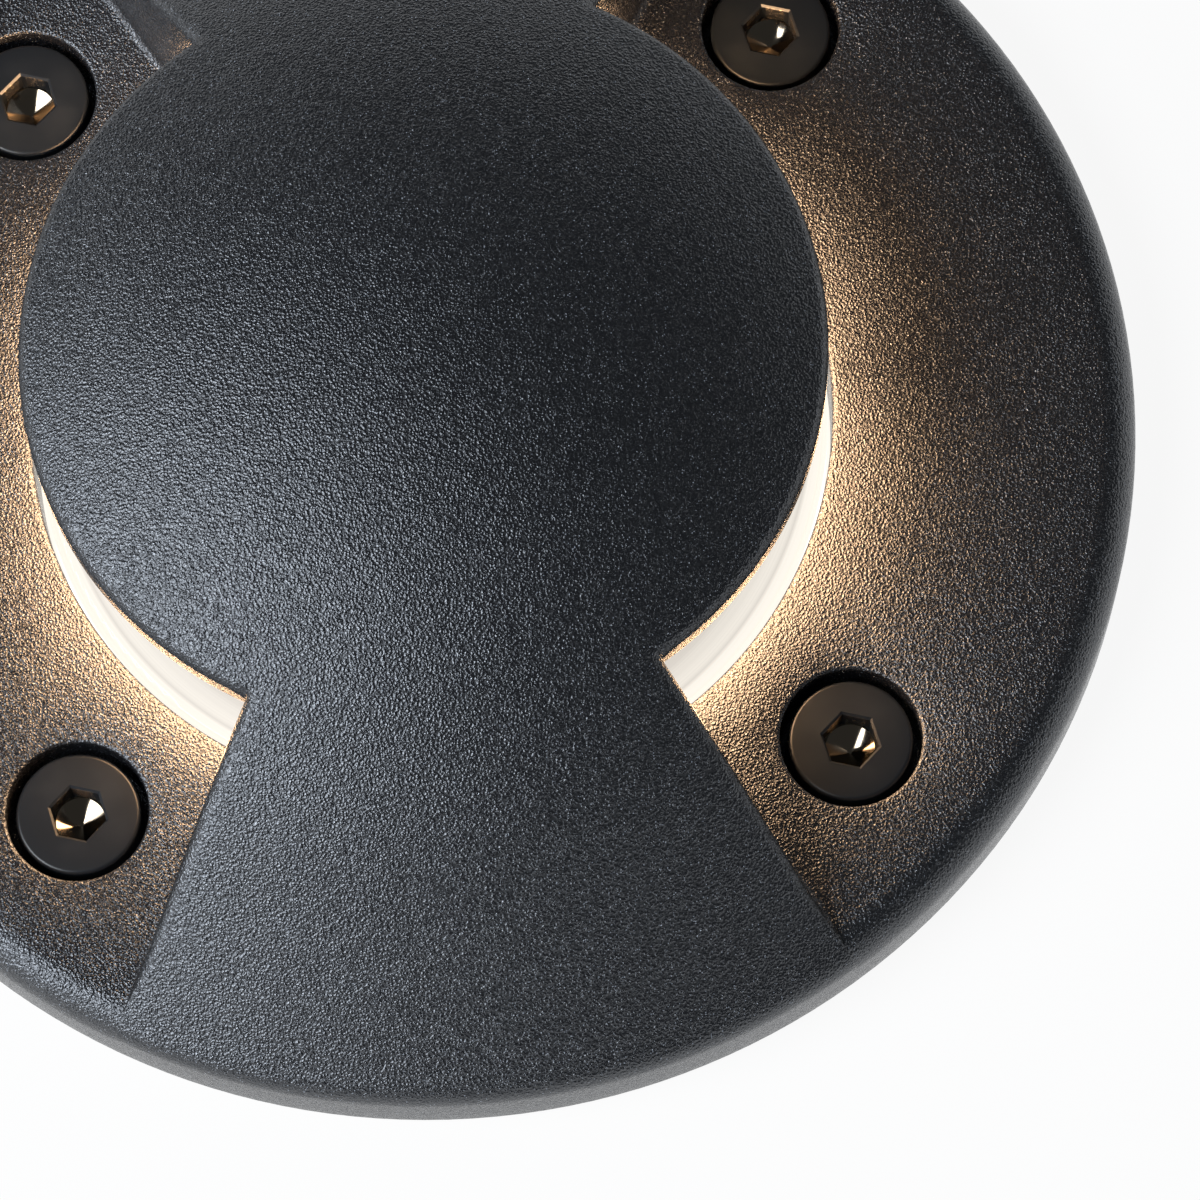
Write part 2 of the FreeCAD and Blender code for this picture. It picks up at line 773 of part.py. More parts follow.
def make_lamp_pins():
    """The two mushroom pins of the lamp's bayonet foot."""
    head_top = holder_top_z - holder_plate - body_gap
    pins = []
    for side in (-1, 1):
        x = side * pin_spacing / 2
        neck = disc(pin_neck_radius, head_top, lamp_bottom_z + pin_root, x)
        head = disc(pin_head_radius, head_top - pin_head_height, head_top, x)
        pins.append(joined([neck, head]))
    return group(pins)


def make_lampholder():
    """The ceramic holder: two curved pin slots over a well for the pin heads."""
    well_top = holder_top_z - holder_plate
    shape = disc(holder_radius, holder_bottom_z, holder_top_z)
    cuts = [ring(holder_well_radius, holder_well_inner_radius, well_top - holder_well_depth, well_top)]
    slot_radius = pin_neck_radius + pin_slot_gap
    entry_radius = pin_head_radius + pin_slot_gap
    middle = pin_spacing / 2
    for side in (0, 180):
        track = ring(middle + slot_radius, middle - slot_radius, well_top, holder_top_z + overrun)
        track = track.common(sector(twist_angle / 2, twist_angle / 2, 2 * holder_radius, well_top,
                                    holder_top_z + overrun))
        ends = [disc(slot_radius, well_top, holder_top_z + overrun, middle)]
        x, y = polar(middle, twist_angle)
        ends.append(disc(entry_radius, well_top, holder_top_z + overrun, x, y))
        cuts.append(spun(joined([track] + ends), side))
    for y in (-holder_screw_offset, holder_screw_offset):
        cuts.append(disc(holder_screw_radius, holder_bottom_z - overrun,
                         holder_bottom_z + holder_screw_bite - bracket_thickness, 0, y))
    for x in (pole_places()[0], pole_places()[-1]):
        cuts.append(disc(lead_radius, holder_bottom_z - overrun, holder_bottom_z + lead_entry_depth,
                         x, lead_offset))
    for cut in cuts:
        shape = shape.cut(cut)
    return shape


def make_lampholder_contacts():
    """The two curved contact strips on the well's floor, one under each pin's travel."""
    bottom = holder_top_z - holder_plate - holder_well_depth
    strip = ring(contact_outer_radius, contact_inner_radius, bottom, bottom + contact_thickness)
    strip = strip.common(sector(contact_half_angle, twist_angle / 2, 2 * holder_radius, bottom,
                                bottom + contact_thickness))
    return group([strip, spun(strip, 180)])


def make_lampholder_bracket():
    """The bent steel strap that stands on the housing floor and carries the lampholder."""
    legs = []
    for side in (-1, 1):
        middle = side * (bracket_half_span - bracket_thickness / 2)
        legs.append(block(bracket_thickness, bracket_width, pot_floor_z, holder_bottom_z, middle))
        legs.append(block(bracket_foot, bracket_width, pot_floor_z, pot_floor_z + bracket_thickness,
                          side * (bracket_half_span - bracket_thickness + bracket_foot / 2)))
    top = block(2 * bracket_half_span, bracket_width, bracket_z, bracket_z + bracket_thickness)
    shape = joined([top] + legs)
    cuts = []
    for side in (-1, 1):
        cuts.append(disc(bracket_screw_radius, pot_floor_z, pot_floor_z + bracket_thickness,
                         side * bracket_screw_x, 0))
        cuts.append(disc(holder_screw_radius, bracket_z, bracket_z + bracket_thickness,
                         0, side * holder_screw_offset))
    for x in (pole_places()[0], pole_places()[-1]):
        cuts.append(disc(bracket_lead_hole_radius, bracket_z, bracket_z + bracket_thickness,
                         x, lead_offset))
    return shape.cut(group(cuts))


def make_holder_screws():
    """The two screws that hold the lampholder down, driven up through the bracket."""
    screw = slotted_screw(holder_screw_radius, holder_screw_bite, holder_screw_head_radius,
                          holder_screw_head_height)
    screw.rotate(origin, across, 180)
    return group([moved(screw, 0, side * holder_screw_offset, bracket_z) for side in (-1, 1)])


def make_bracket_screws():
    """The two screws through the bracket's feet into the housing floor."""
    foot_top = pot_floor_z + bracket_thickness
    screw = slotted_screw(bracket_screw_radius, bracket_thickness + bracket_screw_bite,
                          bracket_screw_head_radius, bracket_screw_head_height)
    return group([moved(screw, side * bracket_screw_x, 0, foot_top) for side in (-1, 1)])


def pole_places():
    """The x of each pole of the terminal block."""
    return [(k - (block_poles - 1) / 2) * block_pole_pitch for k in range(block_poles)]


def clamp_screw_places():
    """The x and y of each clamp screw, two to a pole."""
    y = clamp_length / 2 - clamp_screw_inset
    return [(x, side * y) for x in pole_places() for side in (-1, 1)]


def cross_hole(radius, length, x, z):
    """A round hole's solid lying along Y."""
    return Part.makeCylinder(radius, length, vec(x, -length / 2, z), along)


def make_terminal_block():
    """The plastic body with a chamber, a wire hole and two screw wells for each pole."""
    top = pot_floor_z + block_height
    shape = block(block_length, block_width, pot_floor_z, top)
    cuts = []
    for x in pole_places():
        cuts.append(block(clamp_width, clamp_length, clamp_bottom_z, clamp_bottom_z + clamp_height, x))
        cuts.append(cross_hole(clamp_bore_radius, block_width + 2 * overrun, x, clamp_axis_z))
    for x, y in clamp_screw_places():
        cuts.append(disc(clamp_screw_well_radius, clamp_bottom_z + clamp_height, top + overrun, x, y))
    for side in (-1, 1):
        x = side * block_screw_spacing / 2
        cuts.append(disc(block_screw_radius, pot_floor_z - overrun, top + overrun, x))
        cuts.append(disc(block_screw_head_radius, top - block_screw_head_height, top + overrun, x))
    for cut in cuts:
        shape = shape.cut(cut)
    return shape


def make_terminal_clamps():
    """The brass clamp of each pole, bored along for the wires and down for its screws."""
    clamps = []
    for x in pole_places():
        clamp = block(clamp_width, clamp_length, clamp_bottom_z, clamp_bottom_z + clamp_height, x)
        clamp = clamp.cut(cross_hole(clamp_bore_radius, block_width, x, clamp_axis_z))
        for screw_x, y in clamp_screw_places():
            clamp = clamp.cut(disc(clamp_screw_radius, clamp_screw_end_z, clamp_bottom_z + clamp_height,
                                   screw_x, y))
        clamps.append(clamp)
    return group(clamps)


def make_clamp_screws():
    """The six small screws that grip the wires in the clamps."""
    top = pot_floor_z + block_height - clamp_screw_sink
    screws = []
    for x, y in clamp_screw_places():
        screw = disc(clamp_screw_radius, clamp_screw_end_z, top, x, y)
        slot = block(3 * clamp_screw_radius, clamp_screw_slot_width, top - screw_slot_depth,
                     top + overrun, x, y)
        screws.append(screw.cut(slot))
    return group(screws)


def make_block_screws():
    """The two screws that hold the terminal block to the housing floor."""
    head_bottom = pot_floor_z + block_height - block_screw_head_height
    screw = slotted_screw(block_screw_radius, head_bottom - pot_floor_z + block_screw_bite,
                          block_screw_head_radius, block_screw_head_height)
    return group([moved(screw, side * block_screw_spacing / 2, 0, head_bottom) for side in (-1, 1)])


def make_lamp_leads():
    """The two insulated leads from the lampholder down into the outer poles."""
    wires = []
    for x in (pole_places()[0], pole_places()[-1]):
        route = [vec(x, lead_offset, holder_bottom_z + lead_entry_depth),
                 vec(x, lead_offset, clamp_axis_z),
                 vec(x, clamp_length / 2 + clamp_wire_gap, clamp_axis_z)]
        wires.append(bent_tube(route, lead_bend_radius, lead_radius))
    return group(wires)


def earth_place():
    """The x and y of the earth screw."""
    return polar(earth_circle_radius, earth_angle)


def earth_wire_turn_point():
    """Where the earth wire turns towards the tag, on the tag's own axis."""
    return vec(0, -block_width / 2 - earth_wire_run, clamp_axis_z)


def earth_tag_heading():
    """The direction of the tag's barrel in plan, towards the wire's turn."""
    x, y = earth_place()
    target = earth_wire_turn_point()
    return math.degrees(math.atan2(target.y - y, target.x - x))


def make_earth_tag():
    """The ring tag on the earth boss, with its strap and the barrel round the wire's end."""
    bottom = clamp_axis_z - earth_tag_thickness / 2
    top = bottom + earth_tag_thickness
    eye = disc(earth_tag_radius, bottom, top)
    strap = block(earth_tag_neck, earth_tag_width, bottom, top, earth_tag_neck / 2)
    barrel = Part.makeCylinder(earth_barrel_radius, earth_barrel_length,
                               vec(earth_tag_neck, 0, clamp_axis_z), across)
    wire_hole = Part.makeCylinder(lead_radius, earth_barrel_length,
                                  vec(earth_tag_neck + earth_barrel_wall, 0, clamp_axis_z), across)
    shape = joined([eye, strap, barrel]).cut(disc(earth_screw_radius, bottom, top)).cut(wire_hole)
    shape.rotate(origin, up, earth_tag_heading())
    return moved(shape, *earth_place(), 0)


def make_earth_screw():
    """The screw that clamps the earth tag to its boss."""
    screw = slotted_screw(earth_screw_radius, earth_screw_bite, earth_screw_head_radius,
                          earth_screw_head_height)
    return moved(screw, *earth_place(), clamp_axis_z + earth_tag_thickness / 2)


def make_earth_wire():
    """The earth lead from the middle pole into the tag's barrel."""
    x, y = earth_place()
    dx, dy = polar(earth_tag_neck + earth_barrel_wall, earth_tag_heading())
    route = [vec(0, -clamp_length / 2 - clamp_wire_gap, clamp_axis_z),
             earth_wire_turn_point(),
             vec(x + dx, y + dy, clamp_axis_z)]
    return bent_tube(route, earth_bend_radius, lead_radius)


def make_entry_locknuts():
    """The two hexagon nuts inside the housing, one on the gland and one on the plug."""
    nuts = []
    for side in (-1, 1):
        y = side * entry_offset
        nut = hexagon(entry_hex_flats, pot_floor_z, pot_floor_z + entry_nut_height, 0, y)
        nuts.append(nut.cut(disc(entry_thread_radius, pot_floor_z, pot_floor_z + entry_nut_height, 0, y)))
    return group(nuts)


def make_entry_rings():
    """The two sealing rings between the housing's underside and the entry fittings."""
    return group([ring(entry_ring_radius, entry_thread_radius, entry_hex_top_z, pot_bottom_z,
                       0, side * entry_offset) for side in (-1, 1)])


def entry_shank(y):
    """The threaded shank and hexagon that the gland and the plug have in common."""
    shank_top = pot_floor_z + entry_nut_height + entry_thread_show
    return joined([
        disc(entry_thread_radius, entry_hex_top_z, shank_top, 0, y),
        hexagon(entry_hex_flats, entry_hex_bottom_z, entry_hex_top_z, 0, y),
    ])


def make_gland_body():
    """The cable gland's body, bored through, with a neck for the cap below its hexagon."""
    neck = disc(gland_neck_radius, entry_hex_bottom_z - gland_neck_height, entry_hex_bottom_z,
                0, entry_offset)
    bore = disc(gland_bore_radius, 0, flange_top_z, 0, entry_offset)
    return joined([entry_shank(entry_offset), neck]).cut(bore)


def make_gland_cap():
    """The ribbed cap that screws on the gland's neck and squeezes the seal."""
    top = entry_hex_bottom_z - body_gap
    bottom = gland_cap_bottom_z
    outer = gland_cap_radius
    shape = turned([
        segment((gland_cap_hole_radius, bottom), (outer - gland_cap_round, bottom)),
        arc_about((outer - gland_cap_round, bottom + gland_cap_round), gland_cap_round, -90, 0),
        segment((outer, bottom + gland_cap_round), (outer, top)),
        segment((outer, top), (gland_neck_radius, top)),
        segment((gland_neck_radius, top), (gland_neck_radius, bottom + gland_cap_lip)),
        segment((gland_neck_radius, bottom + gland_cap_lip),
                (gland_cap_hole_radius, bottom + gland_cap_lip)),
        segment((gland_cap_hole_radius, bottom + gland_cap_lip), (gland_cap_hole_radius, bottom)),
    ])
    rib = block(2 * gland_cap_rib_reach, gland_cap_rib_width, bottom + gland_cap_round, top, outer)
    ribs = [spun(rib, k * 360 / gland_cap_ribs) for k in range(gland_cap_ribs)]
    return moved(joined([shape] + ribs), 0, entry_offset, 0)


def make_gland_seal():
    """The rubber sleeve in the gland that grips the supply cable."""
    bottom = gland_cap_bottom_z + gland_cap_lip
    return ring(gland_bore_radius, cable_radius, bottom, bottom + gland_seal_height, 0, entry_offset)


def make_blanking_plug():
    """The plug that closes the second cable entry, with a slot across its head."""
    slot = block(3 * entry_hex_flats, plug_slot_width, entry_hex_bottom_z,
                 entry_hex_bottom_z + plug_slot_depth, 0, -entry_offset)
    return entry_shank(-entry_offset).cut(slot)


def make_parts():
    """Every node of the spotlight by name."""
    led_board, led_chips = make_led_board()
    parts = {
        "mounting_sleeve": make_mounting_sleeve(),
        "housing": make_housing(),
        "housing_flange": make_housing_flange(),
        "housing_ribs": make_housing_ribs(),
        "threaded_inserts": make_threaded_inserts(),
        "lower_glass_gasket": make_gasket(seat_z),
        "glass_lens": make_glass_lens(),
        "upper_glass_gasket": make_gasket(top_gasket_z),
        "cover": make_cover(),
        "lamp_body": make_lamp_body(),
        "lamp_lens": make_lamp_lens(),
        "lamp_led_board": led_board,
        "lamp_led_chips": led_chips,
        "lamp_base": make_lamp_base(),
        "lamp_pins": make_lamp_pins(),
        "lampholder": make_lampholder(),
        "lampholder_contacts": make_lampholder_contacts(),
        "lampholder_bracket": make_lampholder_bracket(),
        "lampholder_screws": make_holder_screws(),
        "bracket_screws": make_bracket_screws(),
        "terminal_block": make_terminal_block(),
        "terminal_clamps": make_terminal_clamps(),
        "terminal_clamp_screws": make_clamp_screws(),
        "terminal_block_screws": make_block_screws(),
        "lamp_leads": make_lamp_leads(),
        "earth_tag": make_earth_tag(),
        "earth_screw": make_earth_screw(),
        "earth_wire": make_earth_wire(),
        "cable_gland_body": make_gland_body(),
        "cable_gland_seal": make_gland_seal(),
        "cable_gland_cap": make_gland_cap(),
        "blanking_plug": make_blanking_plug(),
        "entry_locknuts": make_entry_locknuts(),
        "entry_sealing_rings": make_entry_rings(),
    }
    screw = make_cover_screw()
    washer = make_screw_washer()
    for k, (x, y) in enumerate(screw_places(), start=1):
        parts[f"cover_screw_{k}"] = moved(spun(screw, socket_turn), x, y, 0)
        parts[f"screw_washer_{k}"] = moved(washer, x, y, 0)
    return parts


os.makedirs("parts", exist_ok=True)
for name, shape in make_parts().items():
    shape.exportStep(f"parts/{name}.step")
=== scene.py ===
"""The looks of a round in-ground spotlight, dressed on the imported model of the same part."""

import json
import logging
import math
from dataclasses import dataclass, field
from enum import Enum

import bmesh
import bpy
from mathutils import Matrix, Vector

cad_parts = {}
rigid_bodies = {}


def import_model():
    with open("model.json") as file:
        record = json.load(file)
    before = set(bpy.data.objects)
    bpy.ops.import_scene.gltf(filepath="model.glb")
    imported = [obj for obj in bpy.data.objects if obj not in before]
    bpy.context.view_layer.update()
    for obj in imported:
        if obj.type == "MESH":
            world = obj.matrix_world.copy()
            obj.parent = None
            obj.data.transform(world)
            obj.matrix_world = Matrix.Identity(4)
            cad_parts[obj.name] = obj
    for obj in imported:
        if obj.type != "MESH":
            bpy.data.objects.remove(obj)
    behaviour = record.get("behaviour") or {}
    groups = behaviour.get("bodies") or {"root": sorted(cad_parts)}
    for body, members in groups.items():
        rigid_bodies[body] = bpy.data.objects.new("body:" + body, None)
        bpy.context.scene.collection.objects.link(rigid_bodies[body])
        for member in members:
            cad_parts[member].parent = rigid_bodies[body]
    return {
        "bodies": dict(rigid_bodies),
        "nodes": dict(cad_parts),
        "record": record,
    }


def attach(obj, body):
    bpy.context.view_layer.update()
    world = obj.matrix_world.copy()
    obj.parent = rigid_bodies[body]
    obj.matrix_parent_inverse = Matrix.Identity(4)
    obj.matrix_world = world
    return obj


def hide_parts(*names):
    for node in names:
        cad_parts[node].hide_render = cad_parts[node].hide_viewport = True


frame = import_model()

MM = 0.001
WELD_REACH = 2e-6
SLIVER_REACH = 1e-7
CAST_CREASE = math.radians(38.0)
SCREW_CREASE = math.radians(28.0)
Point = tuple[float, float, float]
Colour = tuple[float, float, float]
Span = tuple[float, float]
Profile = list[tuple[float, float]]
Socket = bpy.types.NodeSocket
Node = bpy.types.Node
log = logging.getLogger("spotlight")


class Body(str, Enum):
    """The moving bodies that carry the pieces made here."""

    COVER = "cover"
    SCREW_1 = "screw_1"
    SCREW_2 = "screw_2"
    SCREW_3 = "screw_3"
    SCREW_4 = "screw_4"


class SurfaceNet:
    """Strips of points that share their borders, welded into one closed mesh."""

    def __init__(self) -> None:
        """Start with no surface."""
        self.points: list[Point] = []
        self.faces: list[tuple[int, ...]] = []

    def strip(self, rows: list[list[Point]]) -> None:
        """Add a patch of quads.

        Args:
            rows: Lines of points, each as long as the last.
        """
        start = len(self.points)
        width = len(rows[0])
        for row in rows:
            self.points.extend(row)
        for i in range(len(rows) - 1):
            for j in range(width - 1):
                a = start + i * width + j
                self.faces.append((a, a + 1, a + width + 1, a + width))

    def flat(self, loops: list[list[Point]]) -> None:
        """Fill a level outline.

        Args:
            loops: The outer outline first, then the outline of each hole in it.
        """
        patch = bmesh.new()
        for loop in loops:
            corners = [patch.verts.new(p) for p in loop]
            for a, b in zip(corners, corners[1:] + corners[:1]):
                patch.edges.new((a, b))
        bmesh.ops.triangle_fill(patch, use_beauty=True, use_dissolve=False, edges=patch.edges[:])
        patch.verts.index_update()
        start = len(self.points)
        self.points.extend(tuple(v.co) for v in patch.verts)
        self.faces.extend(tuple(start + v.index for v in f.verts) for f in patch.faces)
        patch.free()

    def mirrored(self, axis: int) -> None:
        """Add the surface's own mirror image.

        Args:
            axis: 0 to mirror left and right, 1 to mirror front and back.
        """
        start = len(self.points)
        for p in self.points[:start]:
            image = list(p)
            image[axis] = -image[axis]
            self.points.append(tuple(image))
        self.faces.extend(tuple(start + k for k in f) for f in self.faces[:])

    def mesh(self, name: str, crease: float = CAST_CREASE) -> bpy.types.Object:
        """Weld the strips into an object.

        Args:
            name: The object's name.
            crease: The angle past which an edge stays sharp.

        Returns:
            The finished object at the origin.
        """
        shape = bmesh.new()
        corners = [shape.verts.new(p) for p in self.points]
        for f in self.faces:
            shape.faces.new([corners[k] for k in f])
        bmesh.ops.remove_doubles(shape, verts=shape.verts[:], dist=WELD_REACH)
        bmesh.ops.dissolve_degenerate(shape, dist=SLIVER_REACH, edges=shape.edges[:])
        bmesh.ops.recalc_face_normals(shape, faces=shape.faces[:])
        open_edges = sum(1 for e in shape.edges if len(e.link_faces) != 2)
        log.info("%s: %d faces, %d open edges", name, len(shape.faces), open_edges)
        return solid_object(name, shape, crease)


def solid_object(name: str, shape: bmesh.types.BMesh, crease: float) -> bpy.types.Object:
    """Turn a worked mesh into a smooth-shaded object with its creases kept.

    Args:
        name: The object's name.
        shape: The mesh, which is freed.
        crease: The angle past which an edge stays sharp.

    Returns:
        The linked object.
    """
    for f in shape.faces:
        f.smooth = True
    for e in shape.edges:
        if len(e.link_faces) == 2 and e.calc_face_angle(0.0) > crease:
            e.smooth = False
    data = bpy.data.meshes.new(name)
    shape.to_mesh(data)
    shape.free()
    made = bpy.data.objects.new(name, data)
    bpy.context.scene.collection.objects.link(made)
    return made


def evenly(first: float, last: float, steps: int) -> list[float]:
    """Give equally spaced values from first to last, both included."""
    return [first + (last - first) * k / steps for k in range(steps + 1)]


def quarter(steps: int) -> list[float]:
    """Give equally spaced angles from 0 to a right angle, both included."""
    return [math.pi / 2 * k / steps for k in range(steps + 1)]


def bearing(point: Point) -> float:
    """Give a point's angle round the Z axis."""
    return math.atan2(point[1], point[0])


def polar(radius: float, angle: float, height: float) -> Point:
    """Give the point at a radius, an angle in radians and a height."""
    return (radius * math.cos(angle), radius * math.sin(angle), height)


@dataclass
class CoverShell:
    """The cast cover: ring plate, two arms and the domed disc, as one closed surface.

    One quarter is made between the middle of a light window, at angle 0, and the middle
    of an arm, at 90 degrees, and is then mirrored twice. The arms follow the dome and then
    run straight out, close over the rim's rounding and down into the rim's wall.
    """

    base: float = 132.0 * MM
    rim_radius: float = 57.5 * MM
    rim_wall: float = 4.3 * MM
    rim_round: float = 3.0 * MM
    rim_lower_round: float = 0.5 * MM
    rim_band: float = 2.2 * MM
    seat_radius: float = 53.8 * MM
    seat_relief: float = 0.3 * MM
    bore_radius: float = 32.65 * MM
    bore_edge_round: float = 0.45 * MM
    bore_band: float = 3.0 * MM
    bore_bevel: float = 0.4 * MM
    disc_radius: float = 32.0 * MM
    disc_edge_round: float = 1.1 * MM
    lip_bevel: float = 0.35 * MM
    dome_rise: float = 30.45 * MM
    dome_curve: float = 73.3 * MM
    dome_wall: float = 2.4 * MM
    arm_half_angle: float = math.radians(30.0)
    arm_foot_offset: float = 0.77 * MM
    arm_draft: float = math.radians(2.1)
    arm_edge_round: float = 1.25 * MM
    arm_edge_share: float = 0.45
    arm_foot_fillet: float = 0.9 * MM
    arm_fillet_share: float = 0.35
    arm_side_shares: Span = (0.84, 0.9)
    arm_rim_step: float = 0.15 * MM
    arm_end_round: float = 2.2 * MM
    plate_change_radius: float = 51.0 * MM
    plate_flat_radius: float = 54.0 * MM
    screw_circle: float = 43.85 * MM
    counterbore: float = 5.7 * MM
    counterbore_bevel: float = 0.3 * MM
    counterbore_depth: float = 5.7 * MM
    screw_hole: float = 3.3 * MM
    screw_hole_bevel: float = 0.3 * MM
    pocket_inner: float = 40.9 * MM
    pocket_outer: float = 50.5 * MM
    plate_pocket_half_angle: float = math.radians(31.0)
    arm_pocket_half_angle: float = math.radians(21.0)
    plate_skin: float = 3.3 * MM
    arm_skin: float = 3.2 * MM
    pole_radius: float = 0.05 * MM
    plate_columns: int = 30
    arm_columns: int = 16
    arc_steps: int = 6
    wide_stations: int = 14
    close_stations: int = 5
    side_levels: int = 5
    dome_rings: int = 26
    dome_edge_rings: int = 12
    hollow_rings: int = 20
    plate_pocket_columns: int = 16
    arm_pocket_columns: int = 12
    arm_pocket_rings: int = 6
    small_round_steps: int = 3
    hole_sides: int = 48
    net: SurfaceNet = field(default_factory=SurfaceNet)

    def __post_init__(self) -> None:
        """Work out the heights that the other sizes follow."""
        self.plate_top = self.base + self.rim_wall + self.rim_round
        self.under = self.base + self.seat_relief
        self.dome_centre = self.base + self.dome_rise - self.dome_curve
        self.wall_angle = math.pi / 2 - self.arm_half_angle
        self.inner_curve = self.dome_curve - self.dome_wall
        self.lip_height = self.sphere(self.disc_radius, self.inner_curve)
        self.root_height = self.sphere(self.bore_radius, self.inner_curve)
        # The arm's straight end touches the dome and a circle just outside the rim's rounding.
        across = self.rim_radius - self.rim_round
        up = self.plate_top - self.rim_round - self.dome_centre
        clear = (self.dome_curve - self.rim_round - self.arm_rim_step) / math.hypot(across, up)
        self.arm_fall = math.atan2(across, up) - math.acos(clear)
        self.arm_straight_radius = self.dome_curve * math.sin(self.arm_fall)

    def sphere(self, radius: float, curve: float) -> float:
        """Give the height of a ball about the dome's centre, over a radius from the axis."""
        return self.dome_centre + math.sqrt(curve ** 2 - radius ** 2)

    def side_offset(self, height: float) -> float:
        """Give how far the arm's drafted side stands from its radial line at a height."""
        return self.arm_foot_offset - (height - self.plate_top) * math.tan(self.arm_draft)

    def beside(self, radius: float, offset: float, height: float) -> Point:
        """Give the point on a circle that lies an offset from the arm side's radial line."""
        return polar(radius, self.wall_angle - math.asin(offset / radius), height)

    def floor_profile(self) -> Profile:
        """Make the plate's top, from the opening's edge out over the rim.

        Returns:
            The radius and height of each station.
        """
        points = []
        for turn in quarter(self.arc_steps - 2):
            points.append((self.bore_radius + self.bore_edge_round * (1 - math.cos(turn)),
                           self.plate_top - self.bore_edge_round * (1 - math.sin(turn))))
        flat = evenly(points[-1][0], self.plate_change_radius, self.wide_stations)[1:]
        flat += evenly(self.plate_change_radius, self.plate_flat_radius, self.close_stations)[1:]
        points += [(r, self.plate_top) for r in flat]
        for turn in quarter(2 * self.arc_steps - 1):
            points.append((self.rim_radius - self.rim_round * (1 - math.sin(turn)),
                           self.plate_top - self.rim_round * (1 - math.cos(turn))))
        return points

    def arm_height(self, radius: float) -> float:
        """Give the arm's top: the dome, then straight over the rim's rounding, then rounded down.

        Args:
            radius: How far from the axis.

        Returns:
            The height there.
        """
        if radius <= self.arm_straight_radius:
            return self.sphere(radius, self.dome_curve)
        start = self.sphere(self.arm_straight_radius, self.dome_curve)
        slope = math.tan(self.arm_fall)
        reach = self.arm_end_round * math.tan((math.pi / 2 - self.arm_fall) / 2)
        if radius <= self.rim_radius - reach * math.cos(self.arm_fall):
            return start - (radius - self.arm_straight_radius) * slope
        wall_top = start - (self.rim_radius - self.arm_straight_radius) * slope - reach
        inward = radius - self.rim_radius + self.arm_end_round
        return wall_top + math.sqrt(max(self.arm_end_round ** 2 - inward ** 2, 0.0))

    def roof_profile(self) -> Profile:
        """Make the arm's top beyond the disc, in step with the plate.

        Returns:
            The radius and height of each station.
        """
        floor = self.floor_profile()
        inner = self.arc_steps - 1
        radii = evenly(self.disc_radius, floor[inner - 1][0], inner - 1)
        radii += [r for r, _ in floor[inner:]]
        return [(r, self.arm_height(r)) for r in radii]

    def rise(self, station: int) -> float:
        """Give how far the arm stands above the plate at a station."""
        return self.roof_profile()[station][1] - self.floor_profile()[station][1]

    def edge_radius(self, station: int) -> float:
        """Give the rounding of the arm's upper edge at a station, less where the arm is low."""
        return min(self.arm_edge_round, self.arm_edge_share * self.rise(station))

    def fillet_radius(self, station: int) -> float:
        """Give the fillet at the arm's foot at a station, less where the arm is low."""
        return min(self.arm_foot_fillet, self.arm_fillet_share * self.rise(station))

    def arm_side(self, floor: Profile, roof: Profile) -> list[list[Point]]:
        """Make the arm's side from its foot fillet up to its rounded edge.

        Args:
            floor: The plate's profile.
            roof: The arm's profile.

        Returns:
            One line of points for each station, from the plate upwards.
        """
        half = (math.pi / 2 + self.arm_draft) / 2
        lines = []
        for k, ((floor_r, floor_z), (roof_r, roof_z)) in enumerate(zip(floor, roof)):
            fillet = self.fillet_radius(k)
            edge_z = roof_z - self.edge_radius(k)
            foot = self.side_offset(floor_z)
            tangent = fillet / math.tan(half)
            centre = (foot + tangent, floor_z + fillet)
            line = []
            for step in range(self.arc_steps):
                turn = -math.pi / 2 - (math.pi / 2 - self.arm_draft) * step / (self.arc_steps - 1)
                line.append(self.beside(floor_r, centre[0] + fillet * math.cos(turn),
                                        centre[1] + fillet * math.sin(turn)))
            low = line[-1][2]
            if k == 0:
                last, next_z = self.root_height, self.lip_height + self.lip_bevel
            else:
                last, next_z = (low + (edge_z - low) * share for share in self.arm_side_shares)
            for z in evenly(low, last, self.side_levels)[1:] + [next_z, edge_z]:
                share = (z - low) / (edge_z - low)
                radius = floor_r + (roof_r - floor_r) * share
                if k == 0:
                    radius = roof_r if z > self.root_height + self.lip_bevel / 2 else floor_r
                line.append(self.beside(radius, self.side_offset(z), z))
            lines.append(line)
        return lines

    def drop(self, inward: float, rounding: float) -> float:
        """Give how far a rounded edge lies under the surface.

        Args:
            inward: The distance in from the edge.
            rounding: The edge's radius.

        Returns:
            The depth under the surface, 0 from the rounding's end on.
        """
        rest = max(rounding - inward, 0.0)
        return rounding - math.sqrt(rounding ** 2 - rest ** 2)

    def disc_drop(self, inward: float) -> float:
        """Give how far the disc's edge lies under the dome, to which its rounding is tangent.

        Args:
            inward: The distance in from the edge.

        Returns:
            The depth under the dome, 0 from the rounding's end on.
        """
        radius = self.disc_radius - inward
        centre_radius = self.disc_radius - self.disc_edge_round
        centre_z = self.sphere(centre_radius, self.dome_curve - self.disc_edge_round)
        slope_radius = centre_radius * self.dome_curve / (self.dome_curve - self.disc_edge_round)
        if radius <= slope_radius:
            return 0.0
        rest = max(self.disc_edge_round ** 2 - (radius - centre_radius) ** 2, 0.0)
        return self.sphere(radius, self.dome_curve) - centre_z - math.sqrt(rest)

